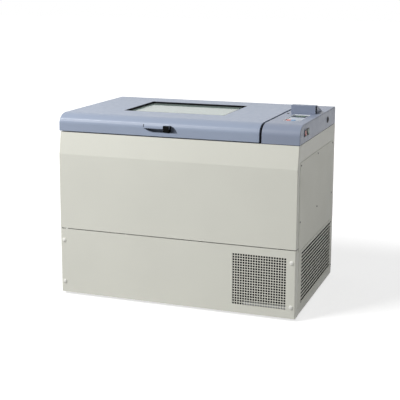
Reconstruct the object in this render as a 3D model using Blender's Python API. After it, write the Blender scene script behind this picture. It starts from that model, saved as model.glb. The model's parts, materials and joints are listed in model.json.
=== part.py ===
# Chest-type incubated shaker: cabinet, lid, control console, orbital drive and cooling plant.
# Metres, +Z up, +X to the right seen from the front, the front faces -Y, origin on the floor
# under the middle of the whole machine.

import math

import bmesh
import bpy
from mathutils import Vector, geometry

# Driving dimensions of the cabinet
cabinet_width = 1.120
cabinet_depth = 0.722
foot_height = 0.012
seam_height = 0.305
deck_height = 0.752
lean_height = 0.110
lean_back = 0.020
sheet = 0.0015
bend_radius = 0.004
panel_gap = 0.0035
seat = 0.0003
running_gap = 0.00015
flange_width = 0.046

# Driving dimensions of the lid and the console beside it
lid_gap = 0.004
lid_height = 0.079
lid_wall = 0.004
lid_lip = 0.005
nose_drop = 0.046
nose_depth = 0.065
console_width = 0.169
console_gap = 0.006

# Driving dimensions of the chamber and the drive
chamber_left_margin = 0.060
chamber_right_margin = 0.230
chamber_end_margin = 0.056
insulation_wall = 0.042
floor_insulation = 0.020
deck_thickness = 0.006
deck_drop = 0.006
orbit_radius = 0.013

# What stands out of the cabinet
cap_height = 0.005
hinge_projection = 0.018

# Facets
fine = 20
middling = 14
coarse = 10

# Places that follow from the driving dimensions
half_width = cabinet_width / 2
whole_depth = cap_height + cabinet_depth + hinge_projection
y_front = cap_height - whole_depth / 2
y_back = y_front + cabinet_depth
z_base = foot_height
z_seam = z_base + seam_height
z_deck = z_base + deck_height
z_bend = z_deck - lean_height
z_lid = z_deck + lid_gap
z_top = z_lid + lid_height
x_console = half_width - console_width
x_lid_right = x_console - console_gap
x_lid_left = -half_width - lid_lip
y_nose = y_front + lean_back
inner_x = half_width - sheet - seat
inner_front = y_front + sheet + seat
inner_back = y_back - sheet - seat
chamber_left = -half_width + chamber_left_margin
chamber_right = half_width - chamber_right_margin
chamber_front = y_nose + chamber_end_margin
chamber_back = y_back - chamber_end_margin
z_drive_deck = z_seam + deck_drop
z_liner = z_drive_deck + deck_thickness + seat + floor_insulation + seat

# How flat faces are filled: every triangle of the outline's hull comes back
all_triangles = 0
fill_tolerance = 1e-9

materials = {}
pivots = {}


# Materials


def material(name, colour, roughness, metallic=0.0, alpha=1.0):
    made = bpy.data.materials.new(name)
    made.use_nodes = True
    shader = made.node_tree.nodes["Principled BSDF"]
    shader.inputs["Base Color"].default_value = (*colour, 1.0)
    shader.inputs["Roughness"].default_value = roughness
    shader.inputs["Metallic"].default_value = metallic
    shader.inputs["Alpha"].default_value = alpha
    made.diffuse_color = (*colour, alpha)
    materials[name] = made


def all_materials():
    material("cream_paint", (0.60, 0.59, 0.53), 0.42)
    material("blue_moulding", (0.42, 0.45, 0.54), 0.38)
    material("white_cap", (0.80, 0.80, 0.77), 0.35)
    material("black_rubber", (0.02, 0.02, 0.02), 0.75)
    material("black_plastic", (0.025, 0.025, 0.03), 0.4)
    material("red_plastic", (0.60, 0.03, 0.03), 0.35)
    material("green_plastic", (0.03, 0.35, 0.10), 0.35)
    material("blue_plastic", (0.20, 0.38, 0.62), 0.4)
    material("grey_plastic", (0.50, 0.52, 0.54), 0.45)
    material("pale_plastic", (0.72, 0.76, 0.79), 0.4)
    material("display_glass", (0.05, 0.07, 0.05), 0.12)
    material("window_glass", (0.70, 0.80, 0.76), 0.06, alpha=0.5)
    material("stainless", (0.62, 0.62, 0.60), 0.32, 0.9)
    material("zinc_steel", (0.55, 0.56, 0.57), 0.45, 0.8)
    material("cast_iron", (0.16, 0.17, 0.18), 0.6, 0.5)
    material("aluminium", (0.66, 0.67, 0.68), 0.35, 0.9)
    material("foam", (0.78, 0.74, 0.60), 0.9)
    material("dark_enamel", (0.03, 0.03, 0.035), 0.45)


# Outlines


def circle(u, v, radius, count, start=0.0):
    step = 2 * math.pi / count
    return [
        (u + radius * math.cos(start + i * step), v + radius * math.sin(start + i * step))
        for i in range(count)
    ]


def rectangle(u0, v0, u1, v1):
    return [(u0, v0), (u1, v0), (u1, v1), (u0, v1)]


def rounded_rectangle(u0, v0, u1, v1, radius, steps=3):
    corners = [
        (u0 + radius, v0 + radius, math.pi),
        (u1 - radius, v0 + radius, 1.5 * math.pi),
        (u1 - radius, v1 - radius, 0.0),
        (u0 + radius, v1 - radius, 0.5 * math.pi),
    ]
    points = []
    for u, v, start in corners:
        for i in range(steps + 1):
            angle = start + 0.5 * math.pi * i / steps
            points.append((u + radius * math.cos(angle), v + radius * math.sin(angle)))
    return points


def cabinet_outline(front):
    # What fits inside the bent metalwork, seen from above.
    return rounded_rectangle(-inner_x, front, inner_x, inner_back, bend_radius, 2)


def slot(u0, v0, u1, v1):
    # A slot along the first direction, with its ends cut to blunt points.
    radius = (v1 - v0) / 2
    middle = v0 + radius
    return [
        (u0, middle), (u0 + radius, v0), (u1 - radius, v0),
        (u1, middle), (u1 - radius, v1), (u0 + radius, v1),
    ]


def rings(points, *levels):
    return [(points, level) for level in levels]


def bore_radius(pin, gap, count):
    # The corner radius of a bore whose flats clear a turning pin by the gap.
    return (pin + gap) / math.cos(math.pi / count)


def disc_rings(u, v, profile, count):
    # One circle for each radius and level of the profile, from the first face to the last.
    return [(circle(u, v, radius, count), level) for radius, level in profile]


# Directions that an outline is raised in


def upright(u, v, level):
    return Vector((u, v, level))


def along_x(u, v, level):
    return Vector((level, u, v))


def along_y(u, v, level):
    return Vector((u, level, v))


# Making meshes and objects


def crossings(point, points, edges):
    # How many edges a ray from the point meets: odd inside the outline and outside its holes.
    u, v = point
    count = 0
    for one, other in edges:
        (u0, v0), (u1, v1) = points[one], points[other]
        if (v0 > v) != (v1 > v) and u < u0 + (u1 - u0) * (v - v0) / (v1 - v0):
            count += 1
    return count


def filled(loops, flat):
    # Triangles between the first loop and the loops inside it, as indices of the loops' points.
    members = [index for loop in loops for index in loop]
    edges = []
    start = 0
    for loop in loops:
        count = len(loop)
        edges += [(start + i, start + (i + 1) % count) for i in range(count)]
        start += count
    points = [Vector(flat[index]) for index in members]
    fill = geometry.delaunay_2d_cdt(points, edges, [], all_triangles, fill_tolerance)
    source = [origins[0] for origins in fill[3]]
    faces = []
    for face in fill[2]:
        middle = sum((fill[0][corner] for corner in face), Vector((0, 0))) / len(face)
        if crossings(middle, points, edges) % 2:
            faces.append(tuple(members[source[corner]] for corner in face))
    return faces


def flat_solid(outer, through=(), on_first=(), on_last=(), place=upright):
    # A closed solid between two flat faces. outer runs from the first face to the last.
    # through are holes from face to face; on_first and on_last rise or sink from one face.
    vertices, flat, faces = [], [], []

    def skin(series):
        loops = []
        for points, level in series:
            start = len(vertices)
            vertices.extend(place(u, v, level) for u, v in points)
            flat.extend(points)
            loops.append(list(range(start, start + len(points))))
        for one, other in zip(loops, loops[1:]):
            for i in range(len(one)):
                j = (i + 1) % len(one)
                faces.append((one[i], one[j], other[j], other[i]))
        return loops[0], loops[-1]

    first, last = skin(outer)
    first_loops, last_loops = [first], [last]
    for series in through:
        begin, end = skin(series)
        first_loops.append(begin)
        last_loops.append(end)
    for series, loops in [(s, first_loops) for s in on_first] + [(s, last_loops) for s in on_last]:
        begin, end = skin(series)
        loops.append(begin)
        faces.extend(filled([end], flat))
    faces.extend(filled(first_loops, flat))
    faces.extend(filled(last_loops, flat))
    return vertices, faces


def inward_points(path, distance):
    # The path moved to its right by the distance, with mitred corners.
    normals = []
    for (x0, y0), (x1, y1) in zip(path, path[1:]):
        length = math.hypot(x1 - x0, y1 - y0)
        normals.append(((y1 - y0) / length, (x0 - x1) / length))
    moved = []
    for i, (x, y) in enumerate(path):
        before = normals[max(i - 1, 0)]
        after = normals[min(i, len(normals) - 1)]
        scale = distance / (1 + before[0] * after[0] + before[1] * after[1])
        moved.append((x + (before[0] + after[0]) * scale, y + (before[1] + after[1]) * scale))
    return moved


def folded_sheet(path, levels, thickness, is_open, lean=None):
    # Sheet metal bent round a path seen from above. Cell (i, j) lies between points i and i + 1
    # of the path and levels j and j + 1. Each edge of the sheet and of an open cell is walled.
    lean = lean or (lambda index, level: 0.0)
    outer, inner = path, inward_points(path, thickness)
    columns, rows = len(path), len(levels)
    vertices = []
    for points in (outer, inner):
        for level in levels:
            for i, (x, y) in enumerate(points):
                vertices.append(Vector((x, y + lean(i, level), level)))

    def at(side, i, j):
        return side * columns * rows + j * columns + i

    def empty(i, j):
        outside = i < 0 or j < 0 or i >= columns - 1 or j >= rows - 1
        return outside or is_open(i, j)

    faces = []
    for i in range(columns - 1):
        for j in range(rows - 1):
            if empty(i, j):
                continue
            corners = [(i, j), (i + 1, j), (i + 1, j + 1), (i, j + 1)]
            faces.append(tuple(at(0, *corner) for corner in corners))
            faces.append(tuple(at(1, *corner) for corner in reversed(corners)))
            sides = [(i, j - 1), (i + 1, j), (i, j + 1), (i - 1, j)]
            for side, neighbour in enumerate(sides):
                if empty(*neighbour):
                    a, b = corners[side], corners[(side + 1) % 4]
                    faces.append((at(0, *a), at(1, *a), at(1, *b), at(0, *b)))
    return vertices, faces


def pivot(name, point, parent=None):
    # An empty on a joint's axis, which carries the pieces of a moving body.
    made = bpy.data.objects.new(name, None)
    bpy.context.collection.objects.link(made)
    pivots[name] = Vector(point)
    made.location = pivots[name]
    if parent:
        made.parent = bpy.data.objects[parent]
        made.location = pivots[name] - pivots[parent]


def make(name, solid, finish, on=None, sharp=35.0):
    # One named object, its mesh measured from the pivot that carries it.
    vertices, faces = solid
    origin = pivots[on] if on else Vector()
    mesh = bpy.data.meshes.new(name)
    mesh.from_pydata([point - origin for point in vertices], [], faces)
    made = bmesh.new()
    made.from_mesh(mesh)
    bmesh.ops.delete(
        made, geom=[vertex for vertex in made.verts if not vertex.link_faces], context="VERTS"
    )
    bmesh.ops.recalc_face_normals(made, faces=made.faces)
    made.to_mesh(mesh)
    made.free()
    mesh.shade_smooth()
    mesh.set_sharp_from_angle(angle=math.radians(sharp))
    mesh.materials.append(materials[finish])
    obj = bpy.data.objects.new(name, mesh)
    bpy.context.collection.objects.link(obj)
    if on:
        obj.parent = bpy.data.objects[on]
    return obj


def boolean(obj, operation, name, solid, on=None):
    # Joins a shape to an object or cuts it away. The helper itself is never rendered.
    helper = make(name, solid, "zinc_steel", on)
    helper.hide_render = True
    helper.display_type = "WIRE"
    modifier = obj.modifiers.new(name, "BOOLEAN")
    modifier.operation = operation
    modifier.object = helper


def block(x0, y0, z0, x1, y1, z1):
    return flat_solid(rings(rectangle(x0, y0, x1, y1), z1, z0))


# The cabinet's metalwork

base_wall = 0.003
base_upstand = 0.036
foot_radius = 0.025
foot_pad = 0.006
foot_stem_radius = 0.009
foot_inset = 0.080


def base():
    # The base is turned up on the right, under the louvred panel. Elsewhere the panels
    # reach down to its edge.
    outline = cabinet_outline(inner_front)
    plate = flat_solid(rings(outline, z_base + base_upstand, z_base))
    plate = make("base_frame", plate, "cream_paint")
    above_plate = block(
        -half_width,
        y_front,
        z_base + base_wall,
        inner_x - base_wall,
        y_back,
        z_base + base_upstand + base_wall,
    )
    boolean(plate, "DIFFERENCE", "above_base_plate", above_plate)
    profile = [
        (foot_stem_radius, z_base - seat),
        (foot_stem_radius, foot_pad),
        (foot_radius, foot_pad),
        (foot_radius, 0.0),
    ]
    for side, x in (("left", foot_inset - half_width), ("right", half_width - foot_inset)):
        for end, y in (("front", y_front + foot_inset), ("rear", y_back - foot_inset)):
            foot = flat_solid(disc_rings(x, y, profile, coarse))
            make(f"foot_{end}_{side}", foot, "black_rubber")


vent_columns = 21
vent_pitch = 0.0116
vent_hole = 0.0075
vent_side_margin = 0.048
vent_foot_margin = 0.043
vent_top_margin = 0.040
cap_side_margin = 0.019
cap_low = 0.052
cap_top_margin = 0.055
cap_radius = 0.009


def front_path(flange_end, stations=()):
    # The outer skin seen from above: right flange, front face and left flange.
    x, y, r = half_width, y_front, bend_radius
    turn = math.sqrt(0.5) * r
    right = [(x, flange_end), (x, y + r), (x - r + turn, y + r - turn), (x - r, y)]
    left = [(-px, py) for px, py in reversed(right)]
    return right + [(station, y) for station in stations] + left


def lower_front():
    first = half_width - vent_side_margin + vent_hole / 2
    across = []
    for column in range(vent_columns):
        edge = first - column * vent_pitch
        across += [edge, edge - vent_hole]
    up = [z_base]
    vent_rows = 1 + int((seam_height - vent_foot_margin - vent_top_margin) / vent_pitch)
    for row in range(vent_rows):
        edge = z_base + vent_foot_margin - vent_hole / 2 + row * vent_pitch
        up += [edge, edge + vent_hole]
    up.append(z_seam - panel_gap / 2)
    corner_points = 4
    last_hole = corner_points + len(across) - 1

    def is_open(i, j):
        in_columns = corner_points <= i < last_hole and (i - corner_points) % 2 == 0
        return in_columns and j % 2 == 1

    path = front_path(y_front + flange_width - panel_gap, across)
    make("front_lower_panel", folded_sheet(path, up, sheet, is_open), "cream_paint")
    dome_shares = ((0.40, 1.0), (0.85, 0.70), (1.0, 0.0))
    back = y_front - seat
    reach = cap_height - seat
    number = 1
    for x in (cap_side_margin - half_width, half_width - cap_side_margin):
        for height in (cap_low, seam_height - cap_top_margin):
            profile = [(cap_radius * share, back - reach * rise) for share, rise in dome_shares]
            dome = flat_solid(disc_rings(x, z_base + height, profile, coarse), place=along_y)
            make(f"panel_cap_{number}", dome, "white_cap")
            number += 1


side_seam_drop = 0.020
cover_top_margin = 0.074
cover_front_margin = 0.034
cover_back_margin = 0.036
cover_lap = 0.025
cover_sheet = 0.0012
louvre_front_margin = 0.046
louvre_back_margin = 0.003
louvre_foot = 0.030
louvre_top_margin = 0.014
louvre_slot = 0.0085
louvre_pitch = 0.0163
louvre_slot_front = 0.096
louvre_slot_back = 0.046
louvre_low = 0.055


def shell():
    # One sheet bent round the front and both sides. The front leans back above the bend.
    low = z_seam - side_seam_drop + panel_gap
    window_front = y_front + cover_front_margin + cover_lap
    window_back = y_back - cover_back_margin - cover_lap
    window_top = z_deck - cover_top_margin - cover_lap
    levels = [low, z_seam + panel_gap / 2, window_top, z_bend, z_deck]
    front = front_path(y_front + flange_width)
    right = [(half_width, y_back), (half_width, window_back), (half_width, window_front)]
    path = right + front + [(-half_width, y_back)]
    flange = len(right)
    end = flange + len(front) - 1
    rise = z_deck - z_bend

    def is_open(i, j):
        if j == 0 and flange <= i < end:
            return True
        return i == 1 and j < 2

    def lean(i, level):
        if flange < i < end and level > z_bend:
            return lean_back * (level - z_bend) / rise
        return 0.0

    make("cabinet_shell", folded_sheet(path, levels, sheet, is_open, lean), "cream_paint")


def side_panels():
    cover = rectangle(
        y_front + cover_front_margin,
        z_seam - side_seam_drop + panel_gap,
        y_back - cover_back_margin,
        z_deck - cover_top_margin,
    )
    outside = half_width + seat
    plate = flat_solid(rings(cover, outside + cover_sheet, outside), place=along_x)
    make("right_upper_cover", plate, "cream_paint")
    outline = rectangle(
        y_front + louvre_front_margin,
        z_base + louvre_foot,
        y_back - louvre_back_margin,
        z_seam - side_seam_drop,
    )
    holes = []
    room = seam_height - side_seam_drop - louvre_low - louvre_top_margin
    louvre_count = 1 + int(room / louvre_pitch)
    for row in range(louvre_count):
        middle = z_base + louvre_low + row * louvre_pitch
        hole = slot(
            y_front + louvre_slot_front,
            middle - louvre_slot / 2,
            y_back - louvre_slot_back,
            middle + louvre_slot / 2,
        )
        holes.append(rings(hole, half_width, half_width - sheet))
    panel = flat_solid(rings(outline, half_width, half_width - sheet), holes, place=along_x)
    make("right_louvre_panel", panel, "cream_paint")
    outline = rectangle(
        y_front + louvre_front_margin,
        z_base,
        y_back - louvre_back_margin,
        z_seam - side_seam_drop,
    )
    plain = flat_solid(rings(outline, sheet - half_width, -half_width), place=along_x)
    make("left_lower_panel", plain, "cream_paint")


inlet_width = 0.048
inlet_height = 0.030
inlet_right_margin = 0.120
inlet_above_base = 0.130
inlet_flange = 0.006
inlet_lip = 0.003
inlet_body = 0.028
inlet_well_width = 0.026
inlet_well_height = 0.018
inlet_well_depth = 0.018
blade_width = 0.002
blade_height = 0.006
blade_length = 0.013
blade_spacing = 0.007
blade_stagger = 0.002
rear_slot_count = 8
rear_slot_width = 0.180
rear_slot_height = 0.010
rear_slot_pitch = 0.022
rear_slot_left = 0.140
rear_slot_low = 0.110


def rear():
    x_inlet = half_width - inlet_right_margin
    z_inlet = z_base + inlet_above_base
    half_w, half_h = inlet_width / 2, inlet_height / 2
    hole = rectangle(x_inlet - half_w, z_inlet - half_h, x_inlet + half_w, z_inlet + half_h)
    holes = [rings(hole, y_back, y_back - sheet)]
    for row in range(rear_slot_count):
        low = z_base + rear_slot_low + row * rear_slot_pitch
        left = half_width - rear_slot_left - rear_slot_width - inlet_right_margin
        gap = slot(left, low, left + rear_slot_width, low + rear_slot_height)
        holes.append(rings(gap, y_back, y_back - sheet))
    outline = rectangle(-inner_x, z_base, inner_x, z_deck)
    panel = flat_solid(rings(outline, y_back, y_back - sheet), holes, place=along_y)
    make("rear_panel", panel, "cream_paint")

    def around(width, height):
        return rectangle(
            x_inlet - width / 2, z_inlet - height / 2, x_inlet + width / 2, z_inlet + height / 2
        )

    face = y_back + seat + inlet_lip
    well_floor = face - inlet_well_depth
    outer = (
        rings(around(inlet_well_width, inlet_well_height), well_floor, face)
        + rings(around(inlet_width + 2 * inlet_flange, inlet_height + 2 * inlet_flange),
                face, y_back + seat)
        + rings(around(inlet_width - 2 * seat, inlet_height - 2 * seat),
                y_back + seat, y_back - inlet_body)
    )
    blades = []
    for place, stagger in ((-1, -1), (0, 1), (1, -1)):
        u = x_inlet + place * blade_spacing
        v = z_inlet + stagger * blade_stagger
        blade = rectangle(
            u - blade_width / 2, v - blade_height / 2, u + blade_width / 2, v + blade_height / 2
        )
        blades.append(rings(blade, well_floor, well_floor + blade_length))
    make("mains_inlet", flat_solid(outer, on_first=blades, place=along_y), "black_plastic")


collar_thickness = 0.008
gasket_width = 0.010
gasket_inset = 0.004
liner_sheet = 0.0015
liner_radius = 0.030
liner_flange = 0.012
floor_collar = 0.010
bore_clearance = 0.003
shaft_seal_wall = 0.004


def chamber_outline(margin, radius=liner_radius):
    return rounded_rectangle(
        chamber_left - margin,
        chamber_front - margin,
        chamber_right + margin,
        chamber_back + margin,
        radius,
        2,
    )


def chamber():
    collar_low = z_deck - collar_thickness
    deck = cabinet_outline(y_nose + sheet + seat)
    mouth = [rings(chamber_outline(0.0), z_deck, collar_low)]
    make("top_deck", flat_solid(rings(deck, z_deck, collar_low), mouth), "grey_plastic")
    seal_low = z_deck + seat
    seal_high = z_lid + liner_rise - seat
    seal = flat_solid(
        rings(chamber_outline(gasket_inset + gasket_width), seal_high, seal_low),
        [rings(chamber_outline(gasket_inset), seal_high, seal_low)],
    )
    make("lid_gasket", seal, "black_rubber")

    rim = collar_low - seat
    under_rim = rim - liner_sheet
    floor = z_liner + liner_sheet
    holes = []
    for x, y, radius in shaft_places():
        bore = radius + bore_clearance
        profile = [
            (bore + shaft_seal_wall, floor),
            (bore + shaft_seal_wall, floor + floor_collar),
            (bore, floor + floor_collar),
            (bore, z_liner),
        ]
        holes.append(disc_rings(x, y, profile, middling))
    outer = (
        rings(chamber_outline(0.0), floor, rim)
        + rings(chamber_outline(liner_flange), rim, under_rim)
        + rings(chamber_outline(liner_sheet), under_rim, z_liner)
    )
    liner = make("chamber_liner", flat_solid(outer, holes), "stainless")

    foam_top = under_rim - seat
    foam_floor = z_liner - seat
    foam_low = z_drive_deck + deck_thickness + seat
    margin = liner_sheet + seat
    outside = chamber_outline(insulation_wall, liner_radius + insulation_wall)
    holes = []
    for x, y, radius in shaft_places():
        holes.append(rings(circle(x, y, radius + 2 * bore_clearance, coarse), foam_floor, foam_low))
    outer = rings(chamber_outline(margin), foam_floor, foam_top) + rings(outside, foam_top, foam_low)
    foam = make("chamber_insulation", flat_solid(outer, holes), "foam")

    y, z = fan_centre()
    reach = insulation_wall + liner_radius
    for obj, name, radius in (
        (liner, "liner_fan_hole", fan_shaft_radius + bore_clearance),
        (foam, "foam_fan_hole", fan_shaft_radius + 2 * bore_clearance),
    ):
        bore = flat_solid(
            rings(circle(y, z, radius, coarse), chamber_right + reach, chamber_right - reach),
            place=along_x,
        )
        boolean(obj, "DIFFERENCE", name, bore)


# The orbital drive

duct_setback = 0.060
platform_side_clearance = 0.035
platform_end_clearance = 0.045
platform_width = chamber_right - duct_setback - chamber_left - 2 * platform_side_clearance
platform_depth = chamber_back - chamber_front - 2 * platform_end_clearance
main_shaft_radius = 0.015
idler_shaft_radius = 0.010
idler_side_margin = 0.100
idler_front_margin = 0.120
idler_spread = platform_width / 2 - idler_side_margin
idler_forward = platform_depth / 2 - idler_front_margin
crank_plate = 0.010
crank_above_floor = 0.016
main_disc_radius = 0.060
counterweight_radius = 0.105
counterweight_half_angle = math.radians(65)
idler_disc_radius = 0.030
main_pin_radius = 0.012
idler_pin_radius = 0.008
pin_length = 0.018
bearing_wall = 0.012
boss_drop = 0.050
boss_wall = 0.014
platform_sheet = 0.008
platform_rim = 0.014
platform_rim_wall = 0.004
platform_lift = 0.004
platform_hole_radius = 0.012
platform_hole_sides = 6
platform_hole_pitch = 0.130
platform_hole_margin = 0.045
platform_bearing_gap = 0.0005
pulley_radius = 0.090
pulley_height = 0.022
pulley_rim = 0.003
groove_depth = 0.008
pulley_hub_radius = 0.026
pulley_hub_drop = 0.012
pulley_below_boss = 0.004
motor_pulley_radius = 0.030
motor_idler_across = 0.102
motor_idler_forward = 0.046
motor_radius = 0.058
motor_height = 0.036
motor_shaft_radius = 0.006
belt_thickness = 0.006
belt_height = 0.009
belt_inner_gap = 0.0008


def drive_centre():
    return (chamber_left + chamber_right - duct_setback) / 2, (chamber_front + chamber_back) / 2


def shaft_places():
    # The three upright shafts: the driven one in the middle and two idlers nearer the front.
    x, y = drive_centre()
    return (
        (x, y, main_shaft_radius),
        (x - idler_spread, y - idler_forward, idler_shaft_radius),
        (x + idler_spread, y - idler_forward, idler_shaft_radius),
    )


def crank(x, y, outline, shaft_radius, shaft_end, pin_radius, low):
    # A crank plate with its shaft below and its pin above, out of line by the orbit's radius.
    top = low + crank_plate
    pin = rings(circle(x + orbit_radius, y, pin_radius, middling), top, top + pin_length)
    shaft = rings(circle(x, y, shaft_radius, middling), low, shaft_end)
    return flat_solid(rings(outline, top, low), on_first=[pin], on_last=[shaft])


def counterweight(x, y):
    # A disc that widens to a heavy sector opposite the pin.
    points = []
    half = counterweight_half_angle
    for i in range(fine):
        angle = 2 * math.pi * i / fine
        away = abs(angle - math.pi)
        radius = counterweight_radius if away < half else main_disc_radius
        points.append((x + radius * math.cos(angle), y + radius * math.sin(angle)))
    return points


def groove_profile(radius, middle, hub):
    half = pulley_height / 2
    inner = radius - groove_depth
    flat = half - pulley_rim
    return [
        (radius, middle + half),
        (radius, middle + flat),
        (inner, middle + belt_height / 2 + pulley_rim / 2),
        (inner, middle - belt_height / 2 - pulley_rim / 2),
        (radius, middle - flat),
        (radius, middle - half),
        (hub, middle - half),
        (hub, middle - half - pulley_hub_drop),
    ]


def belt_outline(one, one_radius, other, other_radius, offset):
    # The taut outline round two pulleys, offset from the bottoms of their grooves.
    (x0, y0), (x1, y1) = one, other
    distance = math.hypot(x1 - x0, y1 - y0)
    heading = math.atan2(y1 - y0, x1 - x0)
    spread = math.acos((one_radius - other_radius) / distance)
    points = []
    for i in range(fine):
        angle = heading + spread + (2 * math.pi - 2 * spread) * i / (fine - 1)
        radius = one_radius + offset
        points.append((x0 + radius * math.cos(angle), y0 + radius * math.sin(angle)))
    for i in range(coarse):
        angle = heading - spread + 2 * spread * i / (coarse - 1)
        radius = other_radius + offset
        points.append((x1 + radius * math.cos(angle), y1 + radius * math.sin(angle)))
    return points


def drive():
    low_deck, high_deck = z_drive_deck, z_drive_deck + deck_thickness
    boss_low = low_deck - boss_drop
    holes = []
    for x, y, radius in shaft_places():
        bore = bore_radius(radius, running_gap, middling)
        profile = [
            (bore, high_deck),
            (bore, boss_low),
            (bore + boss_wall, boss_low),
            (bore + boss_wall, low_deck),
        ]
        holes.append(disc_rings(x, y, profile, middling))
    outline = cabinet_outline(inner_front)
    make("drive_deck", flat_solid(rings(outline, high_deck, low_deck), holes), "zinc_steel")

    crank_low = z_liner + liner_sheet + crank_above_floor
    crank_top = crank_low + crank_plate
    pulley_middle = boss_low - pulley_below_boss - pulley_height / 2
    shaft_end = pulley_middle - pulley_height / 2 - pulley_hub_drop
    (x, y, radius), *idlers = shaft_places()
    pivot("drive_pivot", (x, y, crank_low))
    main = crank(x, y, counterweight(x, y), radius, shaft_end, main_pin_radius, crank_low)
    make("main_eccentric", main, "cast_iron", "drive_pivot")
    profile = groove_profile(pulley_radius, pulley_middle, pulley_hub_radius)
    bore = rings(circle(x, y, radius + seat, middling), profile[0][1], profile[-1][1])
    pulley = flat_solid(disc_rings(x, y, profile, fine), [bore])
    make("driven_pulley", pulley, "aluminium", "drive_pivot")
    for side, (xi, yi, idler_radius) in zip(("left", "right"), idlers):
        pivot(f"{side}_idler_pivot", (xi, yi, crank_low))
        disc = circle(xi, yi, idler_disc_radius, middling)
        idler = crank(xi, yi, disc, idler_radius, boss_low, idler_pin_radius, crank_low)
        make(f"{side}_idler_crank", idler, "zinc_steel", f"{side}_idler_pivot")

    xm = x + idler_spread - motor_idler_across
    ym = y - idler_forward - motor_idler_forward
    motor_top = low_deck - seat
    motor_low = motor_top - motor_height
    case = flat_solid(disc_rings(xm, ym, [(motor_radius, motor_top), (motor_radius, motor_low)], fine))
    make("drive_motor", case, "dark_enamel")
    pivot("motor_pivot", (xm, ym, pulley_middle))
    profile = groove_profile(motor_pulley_radius, pulley_middle, motor_shaft_radius)
    profile = [(motor_shaft_radius, motor_low - seat), (motor_shaft_radius, profile[0][1])] + profile[:-1]
    small = flat_solid(disc_rings(xm, ym, profile, middling))
    make("motor_pulley", small, "aluminium", "motor_pivot")
    groove, small_groove = pulley_radius - groove_depth, motor_pulley_radius - groove_depth
    ends = (x, y), groove, (xm, ym), small_groove
    levels = pulley_middle + belt_height / 2, pulley_middle - belt_height / 2
    belt = flat_solid(
        rings(belt_outline(*ends, seat + belt_thickness), *levels),
        [rings(belt_outline(*ends, belt_inner_gap), *levels)],
    )
    make("drive_belt", belt, "black_rubber")

    platform(x + orbit_radius, y, crank_top, idlers)


def platform(x, y, crank_top, idlers):
    # The tray that orbits: a plate with a low rim, holding-down holes and three bearing hubs.
    pivot("platform_pivot", (x, y, crank_top), "drive_pivot")
    low = crank_top + pin_length + platform_lift
    top = low + platform_sheet
    hub_low = crank_top + platform_lift
    half_w, half_d, wall = platform_width / 2, platform_depth / 2, platform_rim_wall
    outside = rectangle(x - half_w, y - half_d, x + half_w, y + half_d)
    inside = rectangle(
        x - half_w + wall, y - half_d + wall, x + half_w - wall, y + half_d - wall
    )
    outer = rings(inside, top, top + platform_rim) + rings(outside, top + platform_rim, low)
    places = [(x, y, main_pin_radius)]
    places += [(xi + orbit_radius, yi, idler_pin_radius) for xi, yi, _ in idlers]
    hubs = []
    for u, v, pin in places:
        bore = pin + platform_bearing_gap
        profile = [
            (bore, top - platform_sheet / 2),
            (bore, hub_low),
            (bore + bearing_wall, hub_low),
            (bore + bearing_wall, low),
        ]
        hubs.append(disc_rings(u, v, list(reversed(profile)), middling))
    holes = []
    columns = int((half_w - platform_hole_margin) / platform_hole_pitch)
    rows = int((half_d - platform_hole_margin) / platform_hole_pitch)
    for column in range(-columns, columns + 1):
        for row in range(-rows, rows + 1):
            u = x + column * platform_hole_pitch
            v = y + row * platform_hole_pitch
            near = min(math.hypot(u - a, v - b) for a, b, _ in places)
            if near > main_pin_radius + bearing_wall + 2 * platform_hole_radius:
                hole = circle(u, v, platform_hole_radius, platform_hole_sides)
                holes.append(rings(hole, top, low))
    make("shaker_platform", flat_solid(outer, holes, on_last=hubs), "aluminium", "platform_pivot")


# Air and cooling

fan_shaft_radius = 0.005
fan_radius = 0.075
fan_hub_radius = 0.022
fan_blades = 8
fan_depth = 0.026
fan_wall_gap = 0.008
fan_twist = math.radians(14)
blade_root_share = 0.22
blade_tip_share = 0.16
fan_motor_radius = 0.042
fan_motor_length = 0.060
duct_sheet = 0.002
duct_headroom = 0.075
duct_slot_count = 6
duct_slot_height = 0.008
duct_slot_pitch = 0.020
duct_slot_length = 0.360
heater_radius = 0.004
heater_half_span = 0.170
heater_setback = 0.028
heater_bend = 0.020
heater_bend_steps = 3
heater_sides = 6
heater_below_fan = 0.020


def fan_centre():
    # The fan blows through the middle of the duct's cover.
    return (chamber_front + chamber_back) / 2, (z_liner + z_deck - duct_headroom) / 2


def blade_outline(u, v, hub, tip, blades, turn):
    # A hub with straight blades seen along its axis, turned by an angle for the twist.
    points = []
    step = 2 * math.pi / blades
    half_root, half_tip = blade_root_share * step, blade_tip_share * step
    for i in range(blades):
        middle = i * step + turn
        for angle, radius in (
            (middle - half_root, hub),
            (middle - half_tip, tip),
            (middle + half_tip, tip),
            (middle + half_root, hub),
        ):
            points.append((u + radius * math.cos(angle), v + radius * math.sin(angle)))
    return points


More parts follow.
